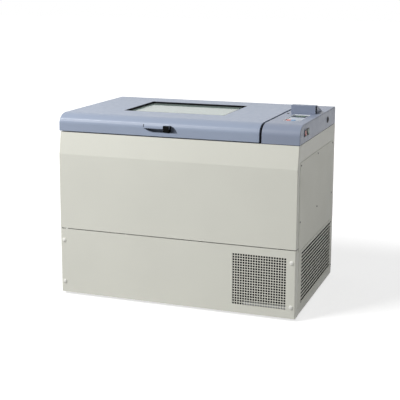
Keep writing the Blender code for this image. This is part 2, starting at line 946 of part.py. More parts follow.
def chamber_air():
    y, z = fan_centre()
    high = chamber_right - fan_wall_gap
    low = high - fan_depth
    pivot("fan_pivot", (high, y, z))
    blades = [
        (blade_outline(y, z, fan_hub_radius, fan_radius, fan_blades, -fan_twist), high),
        (blade_outline(y, z, fan_hub_radius, fan_radius, fan_blades, fan_twist), low),
    ]
    motor_face = chamber_right + insulation_wall + seat
    shaft = rings(circle(y, z, fan_shaft_radius, coarse), high, motor_face - seat)
    wheel = flat_solid(blades, on_first=[shaft], place=along_x)
    make("circulation_fan", wheel, "aluminium", "fan_pivot")
    case = disc_rings(y, z, [(fan_motor_radius, motor_face + fan_motor_length),
                             (fan_motor_radius, motor_face)], coarse)
    make("circulation_fan_motor", flat_solid(case, place=along_x), "dark_enamel")

    back = chamber_right - duct_setback
    outline = rectangle(
        chamber_front + seat,
        z_liner + liner_sheet + seat,
        chamber_back - seat,
        z_deck - duct_headroom,
    )
    holes = []
    for row in range(duct_slot_count):
        middle = z + (row - (duct_slot_count - 1) / 2) * duct_slot_pitch
        gap = slot(
            y - duct_slot_length / 2,
            middle - duct_slot_height / 2,
            y + duct_slot_length / 2,
            middle + duct_slot_height / 2,
        )
        holes.append(rings(gap, back, back - duct_sheet))
    cover = flat_solid(rings(outline, back, back - duct_sheet), holes, place=along_x)
    make("air_duct_cover", cover, "stainless")
    heater(chamber_right - seat, y, z - fan_radius - heater_below_fan)


def heater(x, y, z):
    # A bare tube, out of the wall, along it and back into it.
    path = [(x, y - heater_half_span)]
    for side in (-1, 1):
        u = x - heater_setback + heater_bend
        v = y + side * (heater_half_span - heater_bend)
        arc = []
        for i in range(heater_bend_steps + 1):
            angle = 0.5 * math.pi * i / heater_bend_steps
            arc.append((u - heater_bend * math.sin(angle), v + side * heater_bend * math.cos(angle)))
        path += arc if side < 0 else list(reversed(arc))
    path.append((x, y + heater_half_span))
    bar = tube([Vector((u, v, z)) for u, v in path], heater_radius, heater_sides)
    make("heating_element", bar, "stainless")


def tube(points, radius, sides):
    # A round bar whose rings stand square to a path that lies level.
    vertices, faces = [], []
    up = Vector((0, 0, 1))
    for i, point in enumerate(points):
        ahead = points[min(i + 1, len(points) - 1)] - points[max(i - 1, 0)]
        across = ahead.normalized().cross(up)
        for k in range(sides):
            angle = 2 * math.pi * k / sides
            vertices.append(point + radius * (math.cos(angle) * across + math.sin(angle) * up))
    for i in range(len(points) - 1):
        for k in range(sides):
            a, b = i * sides + k, i * sides + (k + 1) % sides
            faces.append((a, b, b + sides, a + sides))
    faces.append(tuple(range(sides)))
    faces.append(tuple(range(len(vertices) - sides, len(vertices))))
    return vertices, faces


condenser_width = 0.263
condenser_side_margin = 0.032
condenser_right = half_width - condenser_side_margin
condenser_left = condenser_right - condenser_width
condenser_setback = 0.018
condenser_depth = 0.046
condenser_headroom = 0.040
condenser_fins = 16
fin_share = 0.45
fin_depth_share = 0.30
drip_left_margin = 0.057
drip_right_margin = 0.008
drip_lip = 0.010
drip_height = 0.057
shroud_wall = 0.002
shroud_depth = 0.040
shroud_arm = 0.014
cooling_fan_radius = 0.098
cooling_fan_hub = 0.024
cooling_fan_blades = 5
cooling_fan_depth = 0.022
cooling_fan_twist = math.radians(16)
cooling_fan_gap = 0.006
cooling_boss_radius = 0.028
cooling_boss_depth = 0.030
cooling_axle_radius = 0.005
cooling_axle_length = 0.012


def sector_hole(u, v, inner, outer, start, end):
    # One opening between two arms of the fan's guard.
    steps = 4
    angles = [start + (end - start) * i / steps for i in range(steps + 1)]
    points = [(u + outer * math.cos(a), v + outer * math.sin(a)) for a in angles]
    points += [(u + inner * math.cos(a), v + inner * math.sin(a)) for a in reversed(angles)]
    return points


def cooling():
    floor = z_base + base_wall + seat
    front = y_front + condenser_setback
    back = front + condenser_depth
    top = z_seam - condenser_headroom
    pitch = (condenser_right - condenser_left) / condenser_fins
    fin_deep = condenser_depth * fin_depth_share
    comb = [(condenser_left, back), (condenser_right, back)]
    for fin in reversed(range(condenser_fins)):
        left = condenser_left + fin * pitch
        right = left + pitch * fin_share
        if fin == condenser_fins - 1:
            comb += [(condenser_right, front + fin_deep)]
        comb += [(right, front + fin_deep), (right, front), (left, front)]
        if fin:
            comb += [(left, front + fin_deep)]
    fins = make("condenser", flat_solid(rings(comb, top, floor)), "dark_enamel")
    tray = block(
        condenser_left + drip_left_margin,
        front - drip_lip,
        floor,
        condenser_right - drip_right_margin,
        front + fin_deep + drip_lip,
        floor + drip_height,
    )
    boolean(fins, "UNION", "drip_tray", tray)

    x = (condenser_left + condenser_right) / 2
    z = (floor + top) / 2
    rim = back + seat
    guard = rim + shroud_depth
    outside = rectangle(condenser_left, floor, condenser_right, top)
    inside = rectangle(
        condenser_left + shroud_wall,
        floor + shroud_wall,
        condenser_right - shroud_wall,
        top - shroud_wall,
    )
    outer = rings(inside, guard - shroud_wall, rim) + rings(outside, rim, guard)
    holes = []
    for quarter in range(4):
        start = quarter * math.pi / 2 + shroud_arm / cooling_fan_radius
        end = (quarter + 1) * math.pi / 2 - shroud_arm / cooling_fan_radius
        gap = sector_hole(x, z, cooling_boss_radius + shroud_arm, cooling_fan_radius, start, end)
        holes.append(rings(gap, guard - shroud_wall, guard))
    bore = bore_radius(cooling_axle_radius, running_gap, coarse)
    socket = rings(circle(x, z, bore, coarse), guard - shroud_wall, guard + cooling_axle_length)
    boss = rings(circle(x, z, cooling_boss_radius, coarse), guard, guard + cooling_boss_depth)
    shroud = flat_solid(outer, holes, on_first=[socket], on_last=[boss], place=along_y)
    make("condenser_fan_shroud", shroud, "zinc_steel")

    blade_back = guard - shroud_wall - cooling_fan_gap
    blade_front = blade_back - cooling_fan_depth
    pivot("condenser_fan_pivot", (x, blade_back, z))
    tip = cooling_fan_radius - shroud_arm / 2
    blades = [
        (blade_outline(x, z, cooling_fan_hub, tip, cooling_fan_blades, -cooling_fan_twist), blade_back),
        (blade_outline(x, z, cooling_fan_hub, tip, cooling_fan_blades, cooling_fan_twist), blade_front),
    ]
    axle_end = guard + cooling_axle_length - seat
    axle = rings(circle(x, z, cooling_axle_radius, coarse), blade_back, axle_end)
    wheel = flat_solid(blades, on_first=[axle], place=along_y)
    make("condenser_fan", wheel, "aluminium", "condenser_fan_pivot")


compressor_side_margin = 0.155
compressor_back_margin = 0.150
compressor_radius = 0.078
compressor_foot_radius = 0.095
compressor_foot = 0.006
compressor_height = 0.200
electronics_front_margin = 0.050
electronics_length = 0.240
electronics_width = 0.070
electronics_height = 0.260
electronics_radius = 0.006


def plant():
    floor = z_base + base_wall + seat
    x, y = half_width - compressor_side_margin, y_back - compressor_back_margin
    can_shares = ((0.30, 1.0), (0.72, 0.955), (0.93, 0.87), (1.0, 0.75), (1.0, 0.30), (0.94, 0.12))
    profile = [(compressor_radius * r, floor + compressor_height * h) for r, h in can_shares]
    profile += [
        (profile[-1][0], floor + compressor_foot),
        (compressor_foot_radius, floor + compressor_foot),
        (compressor_foot_radius, floor),
    ]
    can = flat_solid(disc_rings(x, y, profile, middling))
    make("compressor", can, "dark_enamel")
    low = z_drive_deck + deck_thickness + seat
    case = rounded_rectangle(
        inner_x - electronics_width,
        y_front + electronics_front_margin,
        inner_x - 2 * cover_sheet,
        y_front + electronics_front_margin + electronics_length,
        electronics_radius,
        1,
    )
    make("electronics_box", flat_solid(rings(case, low + electronics_height, low)), "aluminium")


# The lid

window_left_margin = 0.233
window_right_margin = 0.225
window_front_margin = 0.201
window_back_margin = 0.141
window_recess = 0.009
glass_thickness = 0.012
window_seal_wall = 0.003
window_shelf = 0.008
window_shelf_thickness = 0.003
window_well_wall = 0.003
liner_rise = 0.010
lid_liner_sheet = 0.0015
lid_back_round = 0.010
nose_steps = 6


def nose_rings(x0, x1, low, inset):
    # Rings from the top face down to the bottom edge: the front rounds over as an ellipse.
    front, back = y_nose + inset, y_back - inset
    top = z_top - inset
    drop, depth = nose_drop - inset, nose_depth - inset
    series = []
    for i in range(nose_steps + 1):
        angle = 0.5 * math.pi * i / nose_steps
        y = front + depth * (1 - math.sin(angle))
        z = top - drop * (1 - math.cos(angle))
        back_round = lid_back_round * (1 - math.sin(angle)) if not inset else 0.0
        series.append((rectangle(x0 + inset, y, x1 - inset, back - back_round), z))
    series.append((rectangle(x0 + inset, front, x1 - inset, back), low))
    return series


def moulding(x0, x1, low, through):
    # A cover open below, with the same rounded nose inside and out.
    outside = nose_rings(x0, x1, low, 0.0)
    inside = nose_rings(x0, x1, low, lid_wall)
    return flat_solid(outside + list(reversed(inside)), through)


scoop_width = 0.161
scoop_shift = 0.0175
scoop_left = (x_lid_left + x_lid_right - scoop_width) / 2 + scoop_shift
scoop_right = scoop_left + scoop_width
scoop_roof = 0.0325
scoop_foot = 0.010
scoop_depth = 0.016
scoop_wall = 0.003
scoop_overrun = 0.006
scoop_toe_left = 0.012
scoop_toe_right = 0.006
scoop_steps = 8
scoop_bow_share = 0.6
scoop_middle_share = 0.7
lever_from_scoop = 0.090
lever_width = 0.031
lever_left = scoop_left + lever_from_scoop
lever_right = lever_left + lever_width
lever_low = 0.0315
lever_high = 0.0445
lever_headroom = 0.0055
lever_clearance = 0.0012
lever_skin = 0.005
lever_arm = 0.006
lever_reach = 0.032
lever_tail = 0.006
lever_tail_low = 0.008
lever_pin = 0.002
lever_pin_reach = 0.0035
lug_gap = 0.0003
lug_width = 0.004
lug_front = 0.014
lug_back = 0.004
keeper_gap = 0.0015
keeper_width = 0.020
keeper_thickness = 0.004
keeper_height = 0.022


def scoop_plan(depth, left, right):
    # The finger pull seen from above: straight along the skirt, bowed inwards.
    points = [(left, y_nose - scoop_overrun), (right, y_nose - scoop_overrun)]
    for i in range(scoop_steps + 1):
        share = i / scoop_steps
        x = right + (left - right) * share
        bow = depth * math.sin(math.pi * share) ** scoop_bow_share
        points.append((x, y_nose + bow))
    return points


def lid():
    window = rectangle(
        x_lid_left + window_left_margin,
        y_nose + window_front_margin,
        x_lid_right - window_right_margin,
        y_back - window_back_margin,
    )
    through = [rings(window, z_top, z_top - lid_wall)]
    shell_solid = moulding(x_lid_left, x_lid_right, z_lid, through)
    shell_object = make("lid_shell", shell_solid, "blue_moulding", "lid_pivot")
    roof, foot = z_lid + scoop_roof, z_lid + scoop_foot
    pocket = scoop_depth + scoop_wall
    holder = block(
        scoop_left - scoop_wall,
        y_nose + lid_wall / 2,
        z_lid + scoop_wall,
        scoop_right + scoop_wall,
        y_nose + pocket,
        roof + scoop_wall,
    )
    boolean(shell_object, "UNION", "scoop_pocket", holder, "lid_pivot")
    slim = scoop_wall / 2
    middle = scoop_plan(scoop_middle_share * scoop_depth, scoop_left + slim, scoop_right - slim)
    toe = scoop_plan(slim, scoop_left + scoop_toe_left, scoop_right - scoop_toe_right)
    cut = flat_solid([
        (scoop_plan(scoop_depth, scoop_left, scoop_right), roof),
        (middle, (roof + foot) / 2),
        (toe, foot - slim),
    ])
    boolean(shell_object, "DIFFERENCE", "scoop_cut", cut, "lid_pivot")
    slot_cut = block(
        lever_left - lever_clearance,
        y_nose - scoop_overrun,
        z_lid + lever_low - lever_clearance,
        lever_right + lever_clearance,
        y_nose + lever_reach + scoop_overrun,
        z_lid + lever_high + lever_headroom,
    )
    boolean(shell_object, "DIFFERENCE", "lever_slot", slot_cut, "lid_pivot")

    lugs(shell_object)
    window_pieces(window)
    side = lid_wall + seat
    low = z_lid + liner_rise
    outline = rectangle(
        x_lid_left + side,
        y_nose + lever_reach + keeper_gap + keeper_thickness + keeper_gap,
        x_lid_right - side,
        y_back - side,
    )
    wx0, wy0 = window[0]
    wx1, wy1 = window[2]
    well = window_shelf + window_seal_wall
    well_top = z_top - window_recess - glass_thickness - window_shelf_thickness - 3 * seat
    inner = rectangle(wx0 + well, wy0 + well, wx1 - well, wy1 - well)
    grown = well - window_well_wall
    outer_well = rectangle(wx0 + grown, wy0 + grown, wx1 - grown, wy1 - grown)
    hole = rings(outer_well, low + lid_liner_sheet, well_top) + rings(inner, well_top, low)
    pan = flat_solid(rings(outline, low + lid_liner_sheet, low), [hole])
    make("lid_liner", pan, "stainless", "lid_pivot")


def lever_axis():
    return y_nose + lever_reach - lever_tail / 2, z_lid + lever_high - lever_arm / 2


def lugs(shell_object):
    # Two ears behind the finger pull, bored for the lever's pin.
    y, z = lever_axis()
    gap = lever_clearance + lug_gap
    for name, x0, x1 in (
        ("left", lever_left - gap - lug_width, lever_left - gap),
        ("right", lever_right + gap, lever_right + gap + lug_width),
    ):
        ear = block(x0, y_nose + lug_front, z_lid + scoop_wall, x1, y + lug_back, z + lug_back)
        boolean(shell_object, "UNION", f"latch_ear_{name}", ear, "lid_pivot")
    reach = gap + 2 * lug_width
    bore = cylinder_x(y, z, lever_pin + seat, lever_left - reach, lever_right + reach)
    boolean(shell_object, "DIFFERENCE", "latch_pin_bore", bore, "lid_pivot")


def window_pieces(window):
    (x0, y0), (x1, y1) = window[0], window[2]

    def inside(margin):
        return rectangle(x0 + margin, y0 + margin, x1 - margin, y1 - margin)

    pane_top = z_top - window_recess
    pane_low = pane_top - glass_thickness
    shelf_top = pane_low - seat
    shelf_low = shelf_top - window_shelf_thickness
    outer_edge, wall_edge = inside(seat), inside(seat + window_seal_wall)
    shelf_edge = inside(seat + window_seal_wall + window_shelf)
    ring = flat_solid(
        rings(outer_edge, z_top, shelf_low),
        [rings(wall_edge, z_top, shelf_top) + rings(shelf_edge, shelf_top, shelf_low)],
    )
    make("window_gasket", ring, "black_rubber", "lid_pivot")
    pane = inside(2 * seat + window_seal_wall)
    make("window_pane", flat_solid(rings(pane, pane_top, pane_low)), "window_glass", "lid_pivot")


def latch():
    # A lever in the lid's skirt. Its arm reaches back over the finger pull to a hanging tail.
    x0, x1 = lever_left, lever_right
    low, high = z_lid + lever_low, z_lid + lever_high
    arm_low = high - lever_arm
    y_tail = y_nose + lever_reach
    profile = [
        (y_nose, low),
        (y_nose + lever_skin, low),
        (y_nose + lever_skin, arm_low),
        (y_tail - lever_tail, arm_low),
        (y_tail - lever_tail, z_lid + lever_tail_low),
        (y_tail, z_lid + lever_tail_low),
        (y_tail, high),
        (y_nose, high),
    ]
    pivot("latch_pivot", ((x0 + x1) / 2, *lever_axis()), "lid_pivot")
    arm = flat_solid(rings(profile, x1, x0), place=along_x)
    lever = make("latch_lever", arm, "black_plastic", "latch_pivot")
    reach = lever_clearance + lug_gap + lever_pin_reach
    pin = cylinder_x(*lever_axis(), lever_pin, x0 - reach, x1 + reach)
    boolean(lever, "UNION", "latch_pin", pin, "latch_pivot")
    middle = (x0 + x1) / 2
    front = y_tail + keeper_gap
    striker = block(
        middle - keeper_width / 2,
        front,
        z_deck + seat,
        middle + keeper_width / 2,
        front + keeper_thickness,
        z_deck + keeper_height,
    )
    make("latch_striker", striker, "stainless")


hinge_inset = 0.170
hinge_width = 0.064
hinge_leaf = 0.003
hinge_barrel = 0.0075
hinge_pin = 0.0035
hinge_leaf_length = 0.058
knuckle_gap = 0.0005
knuckle_share = 0.32
hinge_rise = 0.002


def hinge_axis():
    return y_back + hinge_projection - hinge_barrel, z_deck + hinge_rise


def hinges():
    y, z = hinge_axis()
    near = y_back + seat
    half = hinge_width / 2
    knuckle = hinge_width * knuckle_share / 2
    for side, x in (("left", x_lid_left + hinge_inset), ("right", x_lid_right - hinge_inset)):
        left_knuckle = cylinder_x(y, z, hinge_barrel, x - half, x - knuckle - knuckle_gap)
        base = make(f"{side}_hinge_base", left_knuckle, "zinc_steel")
        right_knuckle = cylinder_x(y, z, hinge_barrel, x + knuckle + knuckle_gap, x + half)
        boolean(base, "UNION", f"{side}_base_knuckle", right_knuckle)
        leaf = block(
            x - half, near, z - hinge_leaf_length, x + half, near + hinge_leaf,
            z - hinge_barrel - knuckle_gap,
        )
        boolean(base, "UNION", f"{side}_base_leaf", leaf)
        web = [
            (near, z - hinge_barrel - 2 * knuckle_gap),
            (near + hinge_leaf, z - 2 * hinge_barrel),
            (y, z - hinge_barrel / 2),
            (y, z),
            (near, z),
        ]
        for name, x0, x1 in (
            ("left", x - half + knuckle_gap, x - knuckle - 2 * knuckle_gap),
            ("right", x + knuckle + 2 * knuckle_gap, x + half - knuckle_gap),
        ):
            rib = flat_solid(rings(web, x1, x0), place=along_x)
            boolean(base, "UNION", f"{side}_base_web_{name}", rib)
        pin = cylinder_x(y, z, hinge_pin, x - half / 2 - knuckle / 2, x + half / 2 + knuckle / 2)
        boolean(base, "UNION", f"{side}_base_pin", pin)

        bore = rings(circle(y, z, hinge_pin + seat, coarse), x + knuckle, x - knuckle)
        barrel = flat_solid(
            rings(circle(y, z, hinge_barrel, coarse), x + knuckle, x - knuckle), [bore], place=along_x
        )
        arm = make(f"{side}_hinge_arm", barrel, "zinc_steel", "lid_pivot")
        raised = [
            (near, z_lid + hinge_leaf),
            (y, z + hinge_pin + 2 * knuckle_gap),
            (y, z + hinge_barrel - knuckle_gap),
            (near + hinge_leaf, z + 3 * hinge_barrel),
            (near, z + 3 * hinge_barrel),
        ]
        slim = knuckle - knuckle_gap
        rib = flat_solid(rings(raised, x + slim, x - slim), place=along_x)
        boolean(arm, "UNION", f"{side}_arm_web", rib, "lid_pivot")
        plate = block(
            x - half, near, z + hinge_barrel + 2 * hinge_leaf, x + half, near + hinge_leaf,
            z + hinge_leaf_length,
        )
        boolean(arm, "UNION", f"{side}_arm_leaf", plate, "lid_pivot")


def cylinder_x(y, z, radius, x0, x1):
    return flat_solid(rings(circle(y, z, radius, coarse), x1, x0), place=along_x)


# The console

bay_left_margin = 0.054
bay_width = 0.075
bay_front_margin = 0.166
bay_depth = 0.207
bay_recess = 0.004
bay_wall = 0.0015
bay_floor = 0.002
display_length = 0.060
display_margin = 0.005
display_thickness = 0.0015
key_width = 0.016
key_length = 0.026
key_gap = 0.0005
key_rise = 0.002
key_flange = 0.0015
key_flange_thickness = 0.0015
key_front_margin = 0.030
key_edge_margin = 0.008
hood_left_margin = 0.029
hood_right_margin = 0.020
hood_front_margin = 0.406
hood_length = 0.133
hood_height = 0.042
hood_nose = 0.006
hood_tail = 0.002
hood_round = 0.003
switch_width = 0.028
switch_height = 0.031
switch_height_above = 0.038
switch_front_margins = (0.111, 0.161)
switch_lip = 0.002
switch_body = 0.020
switch_frame = 0.0035
rocker_gap = 0.0006
rocker_proud = 0.0012
rocker_dip = 0.0004
rocker_depth = 0.009
rocker_edge_share = 0.98
rocker_flank_share = 0.85
rocker_heel_share = 0.37
rocker_side_share = 0.50
rocker_tilt = math.radians(9)
socket_front_margin = 0.551
socket_above = 0.037
socket_radius = 0.015
socket_bore = 0.010
socket_lip = 0.002
socket_body = 0.022
socket_depth = 0.014


def console():
    bay_x0 = x_console + bay_left_margin
    bay_y0 = y_front + bay_front_margin
    bay_x1, bay_y1 = bay_x0 + bay_width, bay_y0 + bay_depth
    mouth = [rings(rectangle(bay_x0, bay_y0, bay_x1, bay_y1), z_top, z_top - lid_wall)]
    body = make("console_shell", moulding(x_console, half_width, z_deck + seat, mouth), "blue_moulding")
    bay(bay_x0, bay_y0, bay_x1, bay_y1)
    hood()
    for name, margin, colour in zip(
        ("power", "cooling"), switch_front_margins, ("red_plastic", "green_plastic")
    ):
        switch(body, name, y_front + margin, colour)
    y, z = y_front + socket_front_margin, z_lid + socket_above
    hole = cylinder_x(y, z, socket_radius - socket_lip, half_width - 2 * lid_wall, half_width + lid_wall)
    boolean(body, "DIFFERENCE", "socket_hole", hole)
    face = half_width + seat + socket_lip
    profile = [
        (socket_bore, face - socket_depth),
        (socket_bore, face),
        (socket_radius, face),
        (socket_radius, half_width + seat),
        (socket_radius - socket_lip - seat, half_width + seat),
        (socket_radius - socket_lip - seat, half_width - socket_body),
    ]
    socket = flat_solid(disc_rings(y, z, profile, coarse), place=along_x)
    make("service_socket", socket, "black_plastic")


def bay(x0, y0, x1, y1):
    # The sunk control panel: a tray with three keys through its floor and the display behind.
    def inside(margin):
        return rectangle(x0 + margin, y0 + margin, x1 - margin, y1 - margin)

    floor = z_top - bay_recess
    under = floor - bay_floor
    outer = rings(inside(seat + bay_wall), floor, z_top) + rings(inside(seat), z_top, under)
    key_y = y0 + key_front_margin
    span = bay_width - 2 * key_edge_margin - key_width
    holes = []
    for i, (name, colour) in enumerate((
        ("start", "red_plastic"), ("set", "blue_plastic"), ("mode", "grey_plastic")
    )):
        u = x0 + key_edge_margin + span * i / 2
        gap = key_gap
        hole = rectangle(u - gap, key_y - gap, u + key_width + gap, key_y + key_length + gap)
        holes.append(rings(hole, floor, under))
        key(name, colour, u, key_y, floor, under)
    make("keypad_tray", flat_solid(outer, holes), "pale_plastic")
    margin = seat + bay_wall + display_margin
    screen = rectangle(x0 + margin, y1 - margin - display_length, x1 - margin, y1 - margin)
    low = floor + seat
    display = flat_solid(rings(screen, low + display_thickness, low))
    make("display_window", display, "display_glass")


def key(name, colour, u, v, floor, under):
    flange, gap = key_flange, key_gap
    cap = rectangle(u, v, u + key_width, v + key_length)
    foot = rectangle(u - flange, v - flange, u + key_width + flange, v + key_length + flange)
    shoulder = under - gap
    pivot(f"{name}_key_pivot", (u + key_width / 2, v + key_length / 2, floor))
    chamfer = key_gap
    top = rectangle(
        u + chamfer, v + chamfer, u + key_width - chamfer, v + key_length - chamfer
    )
    outer = (
        rings(top, floor + key_rise)
        + rings(cap, floor + key_rise - chamfer, shoulder)
        + rings(foot, shoulder, shoulder - key_flange_thickness)
    )
    make(f"{name}_key", flat_solid(outer), colour, f"{name}_key_pivot")


def hood():
    # A wedge-shaped cowl on the console: upright in front, sloping away behind.
    x0, x1 = x_console + hood_left_margin, half_width - hood_right_margin
    y0 = y_front + hood_front_margin
    low = z_top + seat
    high = low + hood_height
    y1 = y0 + hood_length
    profile = [
        (y0, low),
        (y1, low),
        (y1, low + hood_tail),
        (y0 + hood_nose + 2 * hood_round, high - hood_round / 2),
        (y0 + hood_nose + hood_round, high),
        (y0 + hood_nose, high),
        (y0 + hood_nose - hood_round / 4, high - hood_round / 2),
    ]
    cowl = flat_solid(rings(profile, x1, x0), place=along_x)
    make("display_hood", cowl, "blue_moulding")


def switch(body, name, y, colour):
    # A rocker in a framed body that passes through the console's end wall.
    z = z_lid + switch_height_above

    def around(width, height):
        return rectangle(y - width / 2, z - height / 2, y + width / 2, z + height / 2)

    neck_w, neck_h = switch_width - 2 * switch_lip, switch_height - 2 * switch_lip
    hole = flat_solid(
        rings(around(neck_w, neck_h), half_width + lid_wall, half_width - 2 * lid_wall), place=along_x
    )
    boolean(body, "DIFFERENCE", f"{name}_switch_hole", hole)
    face = half_width + seat + switch_lip
    open_w, open_h = switch_width - 2 * switch_frame, switch_height - 2 * switch_frame
    bottom = face - rocker_depth - switch_frame
    outer = (
        rings(around(open_w, open_h), bottom, face)
        + rings(around(switch_width, switch_height), face, half_width + seat)
        + rings(around(neck_w - 2 * seat, neck_h - 2 * seat), half_width + seat, half_width - switch_body)
    )
    make(f"{name}_switch_bezel", flat_solid(outer, place=along_x), "black_plastic")
    pivot(f"{name}_rocker_pivot", (face, y, z))
    half = open_h / 2 - 2 * rocker_gap
    edge, flank, heel = half * rocker_edge_share, half * rocker_flank_share, half * rocker_heel_share
    side, deep = rocker_depth * rocker_side_share, rocker_depth * rocker_flank_share
    corners = [
        (rocker_proud, edge),
        (rocker_dip, 0.0),
        (rocker_proud, -edge),
        (-side, -flank),
        (-deep, -heel),
        (-deep, heel),
        (-side, flank),
    ]
    turned = []
    for out, up in corners:
        x = face + out * math.cos(rocker_tilt) - up * math.sin(rocker_tilt)
        turned.append((x, z + out * math.sin(rocker_tilt) + up * math.cos(rocker_tilt)))
    half_w = open_w / 2 - rocker_gap
    rocker = flat_solid(rings(turned, y - half_w, y + half_w), place=along_y)
    make(f"{name}_rocker", rocker, colour, f"{name}_rocker_pivot")


def main():
    for obj in list(bpy.data.objects):
        bpy.data.objects.remove(obj, do_unlink=True)
    all_materials()
    pivot("lid_pivot", ((x_lid_left + x_lid_right) / 2, *hinge_axis()))
    base()
    lower_front()
    shell()
    side_panels()
    rear()
    chamber()
    drive()
    chamber_air()
    cooling()
    plant()
    lid()
    latch()
    hinges()
    console()


main()
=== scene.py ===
# Chest-type shaking incubator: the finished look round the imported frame.
# Metres, +Z up, the vented front faces -Y.

import json
import math

import bmesh
import bpy
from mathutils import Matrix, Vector


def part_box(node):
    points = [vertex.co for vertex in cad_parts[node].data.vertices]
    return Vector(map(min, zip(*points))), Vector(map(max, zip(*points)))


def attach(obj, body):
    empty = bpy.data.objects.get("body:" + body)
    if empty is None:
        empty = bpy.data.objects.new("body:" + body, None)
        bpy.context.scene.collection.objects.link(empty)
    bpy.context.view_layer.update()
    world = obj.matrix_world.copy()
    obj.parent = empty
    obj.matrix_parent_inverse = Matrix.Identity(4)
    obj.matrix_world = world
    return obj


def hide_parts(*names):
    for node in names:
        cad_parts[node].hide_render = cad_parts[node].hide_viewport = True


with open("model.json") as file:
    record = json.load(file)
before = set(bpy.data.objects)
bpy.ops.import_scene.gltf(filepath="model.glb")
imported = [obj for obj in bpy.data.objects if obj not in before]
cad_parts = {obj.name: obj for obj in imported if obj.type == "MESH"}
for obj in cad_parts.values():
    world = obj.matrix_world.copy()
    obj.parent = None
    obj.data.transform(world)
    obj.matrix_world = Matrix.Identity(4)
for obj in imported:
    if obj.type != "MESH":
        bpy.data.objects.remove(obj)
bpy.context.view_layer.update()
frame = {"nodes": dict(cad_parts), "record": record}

bodies = frame["record"]["behaviour"]["bodies"]
bodyOf = {node: body for body, members in bodies.items() for node in members}
slotOf = {part["node"]: part["material_slot"] for part in frame["record"]["subparts"]}
print("frame loaded:", len(frame["nodes"]), "nodes")

scene = bpy.context.scene
scene.view_settings.view_transform = "Standard"

weldDistance = 1e-6
smoothAngle = math.radians(32)
cutOverrun = 0.004  # how far a cutter runs past what it cuts
hairGap = 0.0003


# Small helpers for numbers and places

# A screen colour from 0 to 255, as the linear colour that shaders take
def shade(red, green, blue):
    def linear(value):
        share = value / 255
        return share / 12.92 if share <= 0.04045 else ((share + 0.055) / 1.055) ** 2.4
    return linear(red), linear(green), linear(blue), 1.0


def middleOf(box):
    return (box[0] + box[1]) / 2


def upright(u, v, level):
    return Vector((u, v, level))


def alongX(u, v, level):
    return Vector((level, u, v))


def alongY(u, v, level):
    return Vector((u, level, v))


def boxOutline(u0, v0, u1, v1):
    return [(u0, v0), (u1, v0), (u1, v1), (u0, v1)]


def boxAround(box, margin):  # seen from above
    low, high = box
    return boxOutline(low.x - margin, low.y - margin, high.x + margin, high.y + margin)


def roundedOutline(u0, v0, u1, v1, radius, steps=6):
    corners = ((u1 - radius, v0 + radius, -90), (u1 - radius, v1 - radius, 0),
               (u0 + radius, v1 - radius, 90), (u0 + radius, v0 + radius, 180))
    points = []
    for u, v, start in corners:
        for i in range(steps + 1):
            angle = math.radians(start + 90 * i / steps)
            points.append((u + radius * math.cos(angle), v + radius * math.sin(angle)))
    return points


# Small helpers for meshes

def meshObject(name, vertices, faces):
    mesh = bpy.data.meshes.new(name)
    mesh.from_pydata([Vector(v) for v in vertices], [], faces)
    work = bmesh.new()
    work.from_mesh(mesh)
    bmesh.ops.remove_doubles(work, verts=work.verts, dist=weldDistance)
    bmesh.ops.recalc_face_normals(work, faces=work.faces)
    work.to_mesh(mesh)
    work.free()
    piece = bpy.data.objects.new(name, mesh)
    scene.collection.objects.link(piece)
    return piece


def lofted(name, loops):  # closed skin through loops of 3-D points, with a flat cap at each end
    vertices = [point for loop in loops for point in loop]
    count = len(loops[0])
    faces = [tuple(range(count)), tuple(range(len(vertices) - count, len(vertices)))]
    for ring in range(len(loops) - 1):
        start = ring * count
        for i in range(count):
            j = (i + 1) % count
            faces.append((start + i, start + j, start + count + j, start + count + i))
    return meshObject(name, vertices, faces)


def prism(name, outline, low, high, place=upright):
    return lofted(name, [[place(u, v, level) for u, v in outline] for level in (low, high)])


# The profile is (radius, level) pairs along an axis
def turned(name, profile, centre, place=upright, sides=32):
    u, v = centre
    loops = []
    for radius, level in profile:
        loop = []
        for i in range(sides):
            angle = 2 * math.pi * i / sides
            loop.append(place(u + radius * math.cos(angle), v + radius * math.sin(angle), level))
        loops.append(loop)
    return lofted(name, loops)


def cut(piece, cutter, operation="DIFFERENCE"):
    modifier = piece.modifiers.new(cutter.name, "BOOLEAN")
    modifier.operation = operation
    modifier.solver = "EXACT"
    modifier.object = cutter
    cutter.hide_render = True
    cutter.hide_viewport = True


def rounded(piece, width, segments=3, limit=40):
    modifier = piece.modifiers.new("edges", "BEVEL")
    modifier.width = width
    modifier.segments = segments
    modifier.limit_method = "ANGLE"
    modifier.angle_limit = math.radians(limit)
    modifier.harden_normals = False


def bakeModifiers(piece):
    evaluated = piece.evaluated_get(bpy.context.evaluated_depsgraph_get())
    mesh = bpy.data.meshes.new_from_object(evaluated)
    piece.modifiers.clear()
    piece.data = mesh
    return mesh


def settle(piece):
    # Every modifier becomes plain mesh, flat faces stay flat, and the cutters go.
    cutters = [m.object for m in piece.modifiers if m.type == "BOOLEAN"]
    cutters += [m.object for cutter in cutters for m in cutter.modifiers if m.type == "BOOLEAN"]
    bare = bakeModifiers(piece)
    work = bmesh.new()
    work.from_mesh(bare)
    bmesh.ops.remove_doubles(work, verts=work.verts, dist=weldDistance)
    bmesh.ops.dissolve_degenerate(work, edges=work.edges, dist=weldDistance)
    work.to_mesh(bare)
    work.free()
    bare.shade_smooth()
    bare.set_sharp_from_angle(angle=smoothAngle)
    normals = piece.modifiers.new("normals", "WEIGHTED_NORMAL")
    normals.keep_sharp = True
    normals.weight = 100
    bakeModifiers(piece)
    piece.data.name = piece.name
    for cutter in cutters:
        bpy.data.objects.remove(cutter)
    return piece


